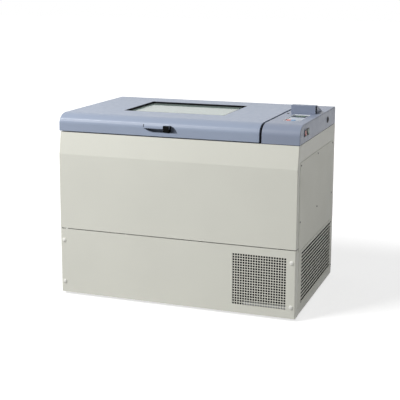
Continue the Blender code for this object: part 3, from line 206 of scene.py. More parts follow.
def finishPiece(piece, body, material, slot, *nodes):
    piece.data.materials.clear()
    piece.data.materials.append(material)
    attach(piece, body)
    if nodes:
        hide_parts(*nodes)
    return piece


def smoothCopy(node, material, edge):
    # The CAD node's form with its triangles joined, so that its round sides shade smoothly.
    piece = bpy.data.objects.new(node + "Smooth", frame["nodes"][node].data.copy())
    scene.collection.objects.link(piece)
    work = bmesh.new()
    work.from_mesh(piece.data)
    bmesh.ops.remove_doubles(work, verts=work.verts, dist=weldDistance)
    bmesh.ops.dissolve_limit(work, angle_limit=math.radians(0.5), verts=work.verts, edges=work.edges)
    work.to_mesh(piece.data)
    work.free()
    if edge:
        rounded(piece, edge, 2, 50)
    return finishPiece(settle(piece), bodyOf[node], material, slotOf[node], node)


# Node trees: an input of a new node is a fixed value or another node's output

def addNode(tree, kind, **inputs):
    node = tree.nodes.new(kind)
    for label, value in inputs.items():
        socket = node.inputs[label.replace("_", " ")]
        if isinstance(value, bpy.types.NodeSocket):
            tree.links.new(value, socket)
        else:
            socket.default_value = value
    return node


# Geometry Nodes: small trees that repeat a piece or sweep a section

def newTree(name, numbers):
    tree = bpy.data.node_groups.new(name, "GeometryNodeTree")
    sockets = [("Geometry", "NodeSocketGeometry"), *numbers, ("Material", "NodeSocketMaterial")]
    for label, kind in sockets:
        tree.interface.new_socket(label, in_out="INPUT", socket_type=kind)
    tree.interface.new_socket("Geometry", in_out="OUTPUT", socket_type="NodeSocketGeometry")
    return tree, tree.nodes.new("NodeGroupInput").outputs


def closeTree(tree, given, geometry):
    realize = addNode(tree, "GeometryNodeRealizeInstances", Geometry=geometry)
    dress = addNode(tree, "GeometryNodeSetMaterial", Geometry=realize.outputs["Geometry"],
                    Material=given["Material"])
    addNode(tree, "NodeGroupOutput", Geometry=dress.outputs["Geometry"])
    return tree


def grow(piece, tree, material, **values):
    # Runs a tree on the piece and keeps the result as plain mesh.
    modifier = piece.modifiers.new(tree.name, "NODES")
    modifier.node_group = tree
    for socket in tree.interface.items_tree:
        if socket.in_out != "INPUT":
            continue
        label = socket.name.replace(" ", "")
        if label in values:
            modifier[socket.identifier] = values[label]
        elif socket.name == "Material":
            modifier[socket.identifier] = material
    return settle(piece)


def gridTree():  # copies the piece over a flat grid in X and Z, or in Y and Z
    tree, given = newTree("repeatOnGrid", [
        ("Columns", "NodeSocketInt"), ("Rows", "NodeSocketInt"),
        ("Column Step", "NodeSocketVector"), ("Row Step", "NodeSocketVector")])
    geometry = given["Geometry"]
    for count, step in (("Columns", "Column Step"), ("Rows", "Row Step")):
        line = addNode(tree, "GeometryNodeMeshLine", Count=given[count], Offset=given[step])
        copies = addNode(tree, "GeometryNodeInstanceOnPoints", Points=line.outputs["Mesh"],
                         Instance=geometry)
        geometry = copies.outputs["Instances"]
    return closeTree(tree, given, geometry)


screwHead = {"sides": 20, "crown": 0.72, "slotLong": 1.1, "slotWide": 0.28}


# A pan head with a cross recess on every vertex of the piece, its axis along X or Y
def screwTree():
    tree, given = newTree("screwHeads", [
        ("Radius", "NodeSocketFloat"), ("Height", "NodeSocketFloat"), ("Turn", "NodeSocketVector")])
    height = given["Height"]

    def partOfRadius(share):
        node = addNode(tree, "ShaderNodeMath")
        node.operation = "MULTIPLY"
        node.inputs[1].default_value = share
        tree.links.new(given["Radius"], node.inputs[0])
        return node.outputs[0]

    head = addNode(tree, "GeometryNodeMeshCone", Vertices=screwHead["sides"], Depth=height,
                   Radius_Bottom=given["Radius"], Radius_Top=partOfRadius(screwHead["crown"]))
    geometry = head.outputs["Mesh"]
    long, wide = partOfRadius(screwHead["slotLong"]), partOfRadius(screwHead["slotWide"])
    for x, y in ((long, wide), (wide, long)):
        size = addNode(tree, "ShaderNodeCombineXYZ", X=x, Y=y, Z=height)
        bar = addNode(tree, "GeometryNodeMeshCube", Size=size.outputs["Vector"])
        lift = addNode(tree, "ShaderNodeCombineXYZ", Z=height)
        raised = addNode(tree, "GeometryNodeTransform", Geometry=bar.outputs["Mesh"],
                         Translation=lift.outputs["Vector"])
        carve = addNode(tree, "GeometryNodeMeshBoolean")
        carve.operation = "DIFFERENCE"
        tree.links.new(geometry, carve.inputs["Mesh 1"])
        tree.links.new(raised.outputs["Geometry"], carve.inputs["Mesh 2"])
        geometry = carve.outputs["Mesh"]
    turnHead = addNode(tree, "GeometryNodeTransform", Geometry=geometry, Rotation=given["Turn"])
    copies = addNode(tree, "GeometryNodeInstanceOnPoints", Points=given["Geometry"],
                     Instance=turnHead.outputs["Geometry"])
    return closeTree(tree, given, copies.outputs["Instances"])


def sweepTree():  # a rounded section along a level rectangle with rounded corners, for seals
    tree, given = newTree("sweptSeal", [
        ("Width", "NodeSocketFloat"), ("Depth", "NodeSocketFloat"), ("Corner", "NodeSocketFloat"),
        ("Section Width", "NodeSocketFloat"), ("Section Height", "NodeSocketFloat"),
        ("Section Corner", "NodeSocketFloat"), ("Place", "NodeSocketVector")])

    def filletedRectangle(width, height, corner, count):
        shape = addNode(tree, "GeometryNodeCurvePrimitiveQuadrilateral", Width=given[width],
                        Height=given[height])
        fillet = tree.nodes.new("GeometryNodeFilletCurve")
        fillet.mode = "POLY"
        fillet.inputs["Count"].default_value = count
        tree.links.new(shape.outputs["Curve"], fillet.inputs["Curve"])
        tree.links.new(given[corner], fillet.inputs["Radius"])
        return fillet.outputs["Curve"]

    path = filletedRectangle("Width", "Depth", "Corner", 6)
    section = filletedRectangle("Section Width", "Section Height", "Section Corner", 3)
    sweep = addNode(tree, "GeometryNodeCurveToMesh", Curve=path, Profile_Curve=section,
                    Fill_Caps=False)
    moved = addNode(tree, "GeometryNodeTransform", Geometry=sweep.outputs["Mesh"],
                    Translation=given["Place"])
    return closeTree(tree, given, moved.outputs["Geometry"])


gridRepeater = gridTree()
screwMaker = screwTree()
sealSweeper = sweepTree()
print("node trees built")


# Materials

def newMaterial(name, colour, roughness, metallic=0.0):
    material = bpy.data.materials.new(name)
    material.use_nodes = True
    shader = material.node_tree.nodes["Principled BSDF"]
    shader.inputs["Base Color"].default_value = colour
    shader.inputs["Roughness"].default_value = roughness
    shader.inputs["Metallic"].default_value = metallic
    material.diffuse_color = colour
    return material, shader


def objectPlace(material, scale=(1, 1, 1)):
    where = material.node_tree.nodes.new("ShaderNodeTexCoord")
    mapping = addNode(material.node_tree, "ShaderNodeMapping", Scale=scale,
                      Vector=where.outputs["Object"])
    return mapping.outputs["Vector"]


def noiseOn(material, scale, detail=3.0, stretch=(1, 1, 1)):
    noise = addNode(material.node_tree, "ShaderNodeTexNoise", Scale=scale, Detail=detail,
                    Vector=objectPlace(material, stretch))
    return noise.outputs["Fac"]


# A number that wanders between two values
def spread(material, source, low, high, fromLow=0.3, fromHigh=0.7):
    ranged = addNode(material.node_tree, "ShaderNodeMapRange", Value=source, From_Min=fromLow,
                     From_Max=fromHigh, To_Min=low, To_Max=high)
    return ranged.outputs["Result"]


def tint(material, shader, source, dark, pale):  # the base colour wanders between two tones
    mix = material.node_tree.nodes.new("ShaderNodeMix")
    mix.data_type = "RGBA"
    mix.inputs["A"].default_value = dark
    mix.inputs["B"].default_value = pale
    material.node_tree.links.new(spread(material, source, 0.0, 1.0), mix.inputs["Factor"])
    material.node_tree.links.new(mix.outputs["Result"], shader.inputs["Base Color"])


def roughen(material, shader, source, low, high):  # the gloss wanders between two values
    rough = spread(material, source, low, high)
    material.node_tree.links.new(rough, shader.inputs["Roughness"])


def bump(material, shader, source, strength, depth):
    node = addNode(material.node_tree, "ShaderNodeBump", Strength=strength, Distance=depth,
                   Height=source)
    material.node_tree.links.new(node.outputs["Normal"], shader.inputs["Normal"])


def scaled(colour, factor):
    return tuple(channel * factor for channel in colour[:3]) + (1.0,)


def powderCoat(name, colour, roughness, grain=1300, depth=0.00006):
    # Sprayed and baked: a fine orange peel, and a tone that drifts a little over the sheet.
    material, shader = newMaterial(name, colour, roughness)
    tint(material, shader, noiseOn(material, 2.4), scaled(colour, 0.975), scaled(colour, 1.02))
    roughen(material, shader, noiseOn(material, 22, 4), roughness - 0.04, roughness + 0.05)
    bump(material, shader, noiseOn(material, grain, 2), 0.35, depth)
    return material


def moulding(name, colour, roughness, grain=900, depth=0.00005, drift=0.03, gloss=0.5):
    # Moulded or vacuum-formed plastic with a fine spark texture.
    material, shader = newMaterial(name, colour, roughness)
    shader.inputs["Specular IOR Level"].default_value = gloss
    tint(material, shader, noiseOn(material, 3.1), scaled(colour, 1 - drift), scaled(colour, 1 + drift))
    roughen(material, shader, noiseOn(material, 40, 5), roughness - 0.05, roughness + 0.06)
    bump(material, shader, noiseOn(material, grain, 2), 0.4, depth)
    return material


def brushed(name, colour, roughness, stretch, depth=0.00002):
    # Sheet metal with fine lines drawn along its rolling direction.
    material, shader = newMaterial(name, colour, roughness, 1.0)
    lines = noiseOn(material, 60, 6, stretch)
    tint(material, shader, lines, scaled(colour, 0.86), scaled(colour, 1.1))
    roughen(material, shader, lines, roughness - 0.07, roughness + 0.10)
    bump(material, shader, lines, 0.3, depth)
    return material


def castMetal(name, colour, roughness, metallic=0.6):
    material, shader = newMaterial(name, colour, roughness, metallic)
    tint(material, shader, noiseOn(material, 35, 5), scaled(colour, 0.8), scaled(colour, 1.15))
    bump(material, shader, noiseOn(material, 420, 5), 0.5, 0.0002)
    return material


def rubberFinish(name, colour, roughness, gloss=0.12):
    material, shader = newMaterial(name, colour, roughness)
    shader.inputs["Specular IOR Level"].default_value = gloss
    dusty = noiseOn(material, 18, 6)
    tint(material, shader, dusty, colour, scaled(colour, 2.1))
    roughen(material, shader, dusty, roughness - 0.08, roughness + 0.08)
    bump(material, shader, noiseOn(material, 700, 3), 0.3, 0.00005)
    return material


def windowGlass(name):
    # Pale green double pane with long soft streaks: its pale tone and the streaks in its colour are a
    # painted reflection, and its gloss wanders with the streaks.
    material, shader = newMaterial(name, shade(206, 224, 214), 0.06)
    streaks = noiseOn(material, 4.0, 4, (0.4, 3.4, 1.0))
    tint(material, shader, streaks, shade(164, 184, 177), shade(192, 208, 201))
    roughen(material, shader, streaks, 0.04, 0.16)
    shader.inputs["Transmission Weight"].default_value = 0.40
    shader.inputs["IOR"].default_value = 1.45
    return material


def foamFinish(name, colour):
    material, shader = newMaterial(name, colour, 0.95)
    cells = noiseOn(material, 160, 6)
    tint(material, shader, cells, scaled(colour, 0.7), colour)
    bump(material, shader, cells, 0.8, 0.001)
    return material


paint = {
    "cream": powderCoat("creamPaint", shade(217, 217, 207), 0.46),
    # The right side panels get a darker, yellower copy of the cream: painted shade
    "creamSide": powderCoat("creamShadedSidePaint", shade(213, 213, 201), 0.5),
    "moulding": moulding("blueGreyMoulding", shade(150, 161, 181), 0.35, gloss=0.28),
    "consoleMoulding": moulding("consoleMoulding", shade(139, 148, 167), 0.37, gloss=0.28),
    # A grey darker than the lid for the pocket behind the finger pull: painted shade in the recess
    "pull": moulding("fingerPullShadedPlastic", shade(112, 120, 134), 0.5, gloss=0.2),
    "cap": moulding("whiteCapPlastic", shade(236, 236, 230), 0.3, 500),
    "footRubber": rubberFinish("footRubber", (0.018, 0.018, 0.018, 1), 0.78),
    "seal": rubberFinish("sealRubber", (0.004, 0.004, 0.005, 1), 0.75, 0.08),
    "deck": moulding("deckPlastic", shade(150, 152, 156), 0.5),
    "foam": foamFinish("insulationFoam", shade(225, 214, 178)),
    # Black foam for the filter behind the louvres, its black also painted shade behind the slots
    "filter": foamFinish("blackFilterShadeFoam", (0.006, 0.006, 0.006, 1)),
    "liner": brushed("brushedStainless", (0.60, 0.60, 0.59, 1), 0.30, (0.15, 6.0, 6.0)),
    "zinc": brushed("zincPlate", (0.53, 0.54, 0.55, 1), 0.42, (4.0, 1.0, 1.0)),
    "enamel": powderCoat("blackEnamel", (0.022, 0.022, 0.024, 1), 0.4, 700),
    # Condenser fins in black lacquer, black also as painted shade that keeps the vent holes dark
    "darkFins": rubberFinish("blackLacquerShadeFins", (0.006, 0.006, 0.007, 1), 0.8, 0.05),
    "fins": brushed("finAluminium", (0.42, 0.43, 0.44, 1), 0.45, (1.0, 1.0, 8.0)),
    "alloy": brushed("machinedAluminium", (0.64, 0.65, 0.66, 1), 0.34, (1.0, 5.0, 1.0)),
    "iron": castMetal("castIron", (0.12, 0.125, 0.13, 1), 0.62),
    "keypad": moulding("keypadFrame", shade(240, 244, 247), 0.36, 600, 0.00003, 0.015),
    "membrane": moulding("keypadMembrane", shade(198, 207, 219), 0.36, 600, 0.00003, 0.015),
    "display": moulding("displayWindow", (0.012, 0.016, 0.014, 1), 0.14, 300, 0.00001),
    "digits": moulding("litDigits", shade(132, 168, 110), 0.4, 300, 0.00001),
    "black": moulding("blackPlastic", (0.006, 0.006, 0.007, 1), 0.45, gloss=0.2),
    "pocket": moulding("pocketPlastic", (0.004, 0.004, 0.004, 1), 0.7, gloss=0.05),
    "red": moulding("redPlastic", shade(178, 44, 36), 0.32, 500, 0.00002),
    "green": moulding("greenPlastic", shade(18, 84, 48), 0.32, 500, 0.00002),
    "startRed": moulding("startKeyPlastic", shade(214, 108, 96), 0.36, 500, 0.00002),
    "blue": moulding("bluePlastic", shade(104, 156, 200), 0.36, 500, 0.00002),
    "grey": moulding("greyPlastic", shade(176, 182, 192), 0.38, 500, 0.00002),
    "glass": windowGlass("windowGlass"),
    "darkScrew": castMetal("blackenedScrew", (0.05, 0.05, 0.05, 1), 0.42, 0.7),
}
print("materials made:", len(paint))


# Carried-over nodes take their finish here

finishes = {
    "cream": ["base_frame", "front_lower_panel", "cabinet_shell", "left_lower_panel", "rear_panel"],
    # The right side panels take the cream copy with painted shade
    "creamSide": ["right_upper_cover", "right_louvre_panel"],
    "footRubber": ["foot_front_left", "foot_front_right", "foot_rear_left", "foot_rear_right"],
    "deck": ["top_deck"],
    "foam": ["chamber_insulation"],
    "darkFins": ["condenser"],
    "liner": ["chamber_liner", "air_duct_cover", "heating_element", "latch_striker", "lid_liner"],
    "seal": ["lid_gasket", "drive_belt", "window_gasket"],
    "zinc": ["drive_deck", "condenser_fan_shroud", "left_hinge_base", "right_hinge_base",
             "left_hinge_arm", "right_hinge_arm", "left_idler_crank", "right_idler_crank"],
    "enamel": ["drive_motor", "compressor", "circulation_fan_motor"],
    "fins": ["electronics_box"],
    "alloy": ["driven_pulley", "shaker_platform", "motor_pulley", "circulation_fan", "condenser_fan"],
    "iron": ["main_eccentric"],
    "keypad": ["keypad_tray"],
    "display": ["display_window"],
    "black": ["power_switch_bezel", "cooling_switch_bezel", "service_socket", "mains_inlet",
              "latch_lever"],
    "red": ["power_rocker", "start_key"],
    "green": ["cooling_rocker"],
    "blue": ["set_key"],
    "grey": ["mode_key"],
    "cap": ["panel_cap_1", "panel_cap_2", "panel_cap_3", "panel_cap_4"],
    "moulding": ["lid_shell", "console_shell", "display_hood"],
    "glass": ["window_pane"],
}
finishOf = {node: finish for finish, members in finishes.items() for node in members}
for node, finish in finishOf.items():
    materials = frame["nodes"][node].data.materials
    materials.clear()
    materials.append(paint[finish])
print("frame dressed")


# The rounded nose that the lid and the console share

nose = {"drop": 0.046, "depth": 0.065, "steps": 26, "wall": 0.004, "backRound": 0.010, "backSteps": 6,
        "creaseLevel": 0.025, "creaseDepth": 0.0007, "edgeRound": 0.0022, "jointGap": 0.0020}


def noseProfile(box, inset=0.0):
    # Seen from the side, from the front's foot up over the nose and down the back.
    front, back = box[0].y + inset, box[1].y - inset
    top, low = box[1].z - inset, box[0].z - (cutOverrun if inset else 0.0)
    drop, depth = nose["drop"] - inset, nose["depth"] - inset
    crease = math.acos(1 - nose["creaseLevel"] / nose["drop"])
    points = [(front, low)]
    for i in range(nose["steps"] + 1):
        angle = 0.5 * math.pi * (1 - i / nose["steps"])
        sunk = nose["creaseDepth"] if angle > crease and not inset else 0.0
        y = front + depth * (1 - math.sin(angle)) + sunk * math.sin(angle)
        points.append((y, top - drop * (1 - math.cos(angle)) - sunk * math.cos(angle)))
    bend = nose["backRound"] - inset
    for i in range(nose["backSteps"] + 1):
        angle = 0.5 * math.pi * (1 - i / nose["backSteps"])
        points.append((back - bend + bend * math.cos(angle), top - bend + bend * math.sin(angle)))
    points.append((back, low))
    return points


def noseCover(name, box, leftGap=0.0, rightGap=0.0):
    # A hollow cover, open below, with rounded edges at its two ends.
    left, right = box[0].x + leftGap, box[1].x - rightGap
    cover = prism(name, noseProfile(box), left, right, alongX)
    rounded(cover, nose["edgeRound"])
    wall = nose["wall"]
    hollow = prism(name + "Hollow", noseProfile(box, wall), left + wall, right - wall, alongX)
    cut(cover, hollow)
    return cover


# Lid

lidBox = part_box("lid_shell")
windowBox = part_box("window_gasket")
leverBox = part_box("latch_lever")
scoop = {"left": -0.1490, "right": 0.0135, "roof": 0.0345, "floor": 0.0168, "depth": 0.023,
         "bow": ((-0.136, 0.0280), (-0.122, 0.0215), (-0.108, 0.0172), (-0.090, 0.0168),
                 (-0.054, 0.0168), (-0.012, 0.0168)),
         "stern": ((0.0, 0.0172), (0.0050, 0.0260), (0.0110, 0.0350), (0.0180, 0.0430)),
         "sternTop": 0.0500, "peak": ((0.0060, 0.0), (0.0008, 0.0005)),
         "insertWall": 0.003, "insertSteps": 10,
         "rings": ((0.006, 1.0, 1.0), (0.016, 0.975, 0.94), (0.023, 0.94, 0.86))}
# Each ridge is (how far the face steps back, how far below the top)
lever = {"left": -0.0556, "right": -0.0285, "side": 0.0012, "headroom": 0.0045, "foot": 0.020,
         "top": 0.0445, "depth": 0.033, "edgeRound": 0.0004, "slope": 0.006,
         "ridges": ((0.001, 0.004), (0.001, 0.008), (0, 0.009), (0, 0.011), (0.001, 0.012),
                    (0.001, 0.015), (0, 0.016))}
tick = {"x": -0.1490, "low": 0.0395, "high": 0.0520, "width": 0.0034, "depth": 0.012,
        "setBack": 0.0002, "sunk": 0.0008, "step": 0.0013, "steps": 11, "clear": 0.06}


def noseFace(box, z, inset):  # how far forward the nose's skin stands at a level
    centre = box[1].z - nose["drop"]
    if z <= centre:
        return box[0].y + inset
    rise = min((z - centre) / (nose["drop"] - inset), 1.0)
    return box[0].y + inset + (nose["depth"] - inset) * (1 - math.sqrt(1 - rise * rise))


def scoopCutter(name):
    # A boat-shaped finger pull, pointed at the left, with a raised stern beside the latch.
    y, z = lidBox[0].y, lidBox[0].z
    latchRight = lever["right"] + lever["side"]
    roof, right = scoop["roof"], scoop["right"]
    front = [(scoop["left"], roof), *scoop["bow"]]
    front += [(right - x, height) for x, height in scoop["stern"]]
    front += [(latchRight + x, scoop["sternTop"] + rise) for x, rise in scoop["peak"]]
    front.append((latchRight, roof))
    middleX = (scoop["left"] + right) / 2

    def ring(reach, shrink, rise):
        return [Vector((middleX + (x - middleX) * shrink, y + reach, z + roof + (height - roof) * rise))
                for x, height in front]
    return lofted(name, [ring(-cutOverrun, 1.0, 1.0)] + [ring(*sizes) for sizes in scoop["rings"]])


def leverSlot(name):
    y, z = lidBox[0].y, lidBox[0].z
    outline = boxOutline(lever["left"] - lever["side"], leverBox[0].y - cutOverrun,
                         lever["right"] + lever["side"], y + lever["depth"])
    return prism(name, outline, z + lever["foot"], z + lever["top"] + lever["headroom"])


def tickBlock(name, overrun, inset):
    y, z, half = lidBox[0].y, lidBox[0].z, tick["width"] / 2 - inset
    outline = boxOutline(tick["x"] - half, y - overrun, tick["x"] + half, y + tick["depth"])
    return prism(name, outline, z + (tick["low"] + inset), z + (tick["high"] - inset))


def makeLid():
    lid = noseCover("lidCover", lidBox, rightGap=nose["jointGap"])
    cut(lid, scoopCutter("scoopCut"))
    cut(lid, leverSlot("leverCut"))
    cut(lid, prism("windowCut", boxAround(windowBox, hairGap), lidBox[1].z - 2 * nose["wall"],
                   lidBox[1].z + cutOverrun))
    cut(lid, tickBlock("tickCut", cutOverrun, 0.0))
    finishPiece(settle(lid), "lid", paint["moulding"], "blue_moulding", "lid_shell")


def makeScoopInsert():
    # The grey pocket behind the finger pull, its face close behind the lid's skin; its grey, darker than
    # the lid, is painted shade for the recess.
    y, z, wall = lidBox[0].y, lidBox[0].z, scoop["insertWall"]
    low, high = z + scoop["floor"] - wall, z + scoop["sternTop"] + 2 * wall
    profile = []
    for i in range(scoop["insertSteps"] + 1):
        level = low + (high - low) * i / scoop["insertSteps"]
        profile.append((noseFace(lidBox, level, nose["wall"] + hairGap), level))
    back = y + scoop["depth"] + wall
    profile += [(back, high), (back, low)]
    insert = prism("scoopInsert", profile, scoop["left"] - wall, scoop["right"] + wall, alongX)
    cut(insert, scoopCutter("insertCut"))
    cut(insert, leverSlot("insertLeverCut"))
    finishPiece(settle(insert), "lid", paint["pull"], "blue_moulding")


def makeTick():
    # A thin black stop button set in the nose.
    button = tickBlock("lidTick", -tick["setBack"], hairGap)
    y, z = lidBox[0].y - cutOverrun, lidBox[0].z
    levels = [z + tick["low"] + tick["step"] * i for i in range(tick["steps"])]
    face = [(noseFace(lidBox, level, tick["sunk"]), level) for level in levels]
    clearFace = prism("tickFace", [(y, z), *face, (y, z + tick["clear"])],
                      tick["x"] - tick["width"], tick["x"] + tick["width"], alongX)
    cut(button, clearFace)
    finishPiece(settle(button), "lid", paint["black"], "black_plastic")


def makeLever():
    # A thumb lever with a sloping top edge and two grip ridges.
    front, back = leverBox[0].y + 0.0004, leverBox[1].y - 0.001
    foot, top = leverBox[0].z + 0.013, leverBox[1].z
    profile = [(front, foot), (back, foot), (back, top), (front + lever["slope"], top)]
    profile += [(front + step, top - drop) for step, drop in lever["ridges"]]
    pad = prism("leverPad", profile, lever["left"], lever["right"], alongX)
    rounded(pad, lever["edgeRound"], 2)
    finishPiece(settle(pad), "latch", paint["pocket"], slotOf["latch_lever"], "latch_lever")


makeLid()
makeScoopInsert()
makeTick()
makeLever()
print("lid made")


# Console

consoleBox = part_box("console_shell")
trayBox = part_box("keypad_tray")
console = {"creaseY": -0.036, "creaseDrift": -0.010, "creaseWidth": 0.0036, "creaseDeep": 0.0022,
           "plugX": 0.4110, "plugY": 0.0250, "plugWide": 0.010, "plugLong": 0.024, "plugRound": 0.003,
           "stripInset": 0.006, "stripClear": 0.0008, "bayGap": 0.0014, "baySealSunk": 0.0014,
           "footGap": 0.0020, "footInset": 0.0016, "lip": 0.002, "stopRound": 0.0005,
           "bridgeRound": 0.0004, "grooveInset": 0.0034, "grooveWidth": 0.0014, "grooveDeep": 0.0016}


def plugOutline(inset):
    x, y = console["plugX"], console["plugY"]
    wide, long = console["plugWide"] / 2 - inset, console["plugLong"] / 2 - inset
    return roundedOutline(x - wide, y - long, x + wide, y + long, console["plugRound"])


def endGroove():  # the joint between the cover and its end plate follows the nose's outline
    inset, width = console["grooveInset"], console["grooveWidth"]
    high, deep = consoleBox[1].x, console["grooveDeep"]
    groove = prism("endGroove", noseProfile(consoleBox, inset), high - deep, high + cutOverrun, alongX)
    cut(groove, prism("endPlate", noseProfile(consoleBox, inset + width), high - 2 * deep,
                      high + 2 * cutOverrun, alongX))
    return groove


def ringPiece(name, outline, hole, low, high):
    ring = prism(name, outline, low, high)
    cut(ring, prism(name + "Hole", hole, low - cutOverrun, high + cutOverrun))
    return settle(ring)


def makeConsoleSeals():
    # Black seals in the joints under the cover and round the keypad: real seals, whose black also stands
    # in for the shade in the gaps as painted shade.
    low, high = consoleBox
    inset, wall = console["footInset"], nose["wall"] + console["footInset"]
    left = low.x + nose["jointGap"]
    foot = ringPiece("consoleFootSeal",
                     boxOutline(left + inset, low.y + inset, high.x - inset, high.y - inset),
                     boxOutline(left + wall, low.y + wall, high.x - wall, high.y - wall),
                     low.z, low.z + console["footGap"] - hairGap / 2)
    finishPiece(foot, "cabinet", paint["seal"], "seal_rubber")
    bay = ringPiece("keypadSeal", boxAround(trayBox, console["bayGap"] - hairGap / 2),
                    boxAround(trayBox, hairGap / 2), high.z - nose["wall"],
                    high.z - console["baySealSunk"])
    finishPiece(bay, "cabinet", paint["seal"], "seal_rubber")


def makeSwitchBridge():
    # One black block: a bridge fills the space between the two switch bezels.
    power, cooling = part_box("power_switch_bezel"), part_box("cooling_switch_bezel")
    outline = boxOutline(power[1].y + hairGap, power[0].z, cooling[0].y - hairGap, power[1].z)
    bridge = prism("switchBridge", outline, consoleBox[1].x + hairGap / 2,
                   power[1].x - 2 * hairGap, alongX)
    rounded(bridge, console["bridgeRound"], 2)
    finishPiece(settle(bridge), "cabinet", paint["black"], "black_plastic")


def makeConsole():
    cover = noseCover("consoleCover", consoleBox, leftGap=nose["jointGap"])
    low, high = consoleBox
    under, over = high.z - 2 * nose["wall"], high.z + cutOverrun
    cut(cover, prism("bayCut", boxAround(trayBox, console["bayGap"]), under, over))
    half = console["creaseWidth"] / 2
    left, right, y, drift = trayBox[1].x, high.x + cutOverrun, console["creaseY"], console["creaseDrift"]
    crease = [(left, y - half), (right, y + drift - half), (right, y + drift + half), (left, y + half)]
    cut(cover, prism("creaseCut", crease, high.z - console["creaseDeep"], over))
    cut(cover, prism("plugCut", plugOutline(0.0), under, over))
    cut(cover, endGroove())
    cut(cover, prism("footCut", boxAround(consoleBox, cutOverrun), low.z - cutOverrun,
                     low.z + console["footGap"]))
    lip, inside = console["lip"], high.x - 2 * nose["wall"]
    for node in ("power_switch_bezel", "cooling_switch_bezel"):
        near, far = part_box(node)
        window = boxOutline(near.y + lip, near.z + lip, far.y - lip, far.z - lip)
        cut(cover, prism(node + "Cut", window, inside, right, alongX))
    near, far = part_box("service_socket")
    middle, radius = middleOf((near, far)), (far.z - near.z) / 2 - lip
    cut(cover, turned("portCut", [(radius, inside), (radius, right)], (middle.y, middle.z), alongX))
    finishPiece(settle(cover), "cabinet", paint["consoleMoulding"], "blue_moulding", "console_shell")

    stop = prism("consolePlug", plugOutline(hairGap), high.z - nose["wall"], high.z + hairGap)
    rounded(stop, console["stopRound"], 2)
    finishPiece(settle(stop), "cabinet", paint["pocket"], "black_plastic")


def makeGapStrip():
    # Black sealing strip in the joint between the lid and the console.
    outline = noseProfile(consoleBox, console["stripInset"])
    left, right = lidBox[1].x + console["stripClear"], consoleBox[0].x - hairGap
    foot = consoleBox[0].z + hairGap
    outline = [(y, max(z, foot)) for y, z in outline]
    strip = prism("gapStrip", outline, left, right, alongX)
    finishPiece(settle(strip), "cabinet", paint["seal"], "seal_rubber")


makeConsole()
makeConsoleSeals()
makeSwitchBridge()
makeGapStrip()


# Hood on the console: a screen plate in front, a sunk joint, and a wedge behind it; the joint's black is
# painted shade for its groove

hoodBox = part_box("display_hood")
hood = {"plate": 0.004, "joint": 0.030, "roof": 0.0022, "tail": 0.0022, "edgeRound": 0.0010,
        "crownDrop": 0.004, "rightInset": 0.006, "leftInset": 0.001}


def makeHood():
    low = hoodBox[0] + Vector((hood["leftInset"], 0, 0))
    high = hoodBox[1] - Vector((hood["rightInset"], 0, hood["crownDrop"]))
    front = low.y
    def slab(name, y0, y1, sunk):
        level = front + hood["plate"] + hood["joint"]
        def crest(y):
            run = (y - level) / (high.y - level)
            return high.z + (low.z + hood["tail"] - high.z) * max(run, 0.0) - sunk
        outline = [(y0, low.z), (y1, low.z), (y1, crest(y1)), (y0, crest(y0))]
        piece = prism(name, outline, low.x + sunk, high.x - sunk, alongX)
        if not sunk:
            rounded(piece, hood["edgeRound"], 2)
        settle(piece)
        return piece
    plateEnd = front + hood["plate"]
    jointEnd = plateEnd + hood["joint"]
    plate = slab("hoodPlate", front, plateEnd, 0.0)
    joint = slab("hoodJoint", plateEnd, jointEnd, hood["roof"] + hairGap)
    wedge = slab("hoodWedge", jointEnd, high.y, 0.0)
    roof = prism("hoodRoof", boxOutline(low.x, plateEnd, high.x, jointEnd),
                 high.z - hood["roof"], high.z)
    finishPiece(settle(roof), "cabinet", paint["consoleMoulding"], "blue_moulding", "display_hood")
    finishPiece(plate, "cabinet", paint["consoleMoulding"], "blue_moulding", "display_hood")
    finishPiece(wedge, "cabinet", paint["consoleMoulding"], "blue_moulding", "display_hood")
    # The sunk joint is black: a real joint, and painted shade for its groove
    finishPiece(joint, "cabinet", paint["pocket"], "black_plastic", "display_hood")


makeHood()


# Keypad: white frame, display with a lit line, three raised keys

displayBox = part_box("display_window")
digits = {"margin": 0.010, "count": 4, "width": 0.0075, "height": 0.011, "proud": 0.0002}
keys = {"start_key": "startRed", "set_key": "blue", "mode_key": "grey"}
membrane = {"rim": 0.0042, "thick": 0.0003, "keyGap": 0.0006, "keyRound": 0.0005, "keyCorner": 0.3}


def makeKeypad():
    for node, finish in keys.items():
        low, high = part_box(node)
        corner = membrane["keyCorner"] * min(high.x - low.x, high.y - low.y)
        outline = roundedOutline(low.x, low.y, high.x, high.y, corner)
        pad = prism(node + "Pad", outline, low.z, high.z)
        rounded(pad, membrane["keyRound"], 2)
        finishPiece(settle(pad), bodyOf[node], paint[finish], slotOf[node], node)
    level = displayBox[0].z
    face = prism("keypadMembrane", boxAround(trayBox, -membrane["rim"]), level + hairGap / 4,
                 level + membrane["thick"])
    for node in (*keys, "display_window"):
        cut(face, prism(node + "Window", boxAround(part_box(node), membrane["keyGap"]),
                        level - cutOverrun, level + cutOverrun))
    finishPiece(settle(face), "cabinet", paint["membrane"], slotOf["keypad_tray"])
    low, high = displayBox
    spacing = (high.x - low.x - 2 * digits["margin"] - digits["width"]) / (digits["count"] - 1)
    middleY = (low.y + high.y) / 2
    start = boxOutline(low.x + digits["margin"], middleY - digits["height"] / 2,
                       low.x + digits["margin"] + digits["width"], middleY + digits["height"] / 2)
    cells = prism("displayCells", start, high.z - digits["proud"], high.z + digits["proud"])
    grow(cells, gridRepeater, paint["digits"], Columns=digits["count"], Rows=1,
         ColumnStep=(spacing, 0, 0), RowStep=(0, 0, 0))
    finishPiece(cells, "cabinet", paint["digits"], "display_glass")


makeKeypad()
print("console made")


# Window seal, swept round the opening

windowSeal = {"section": 0.0034, "sectionCorner": 0.0012, "corner": 0.004}


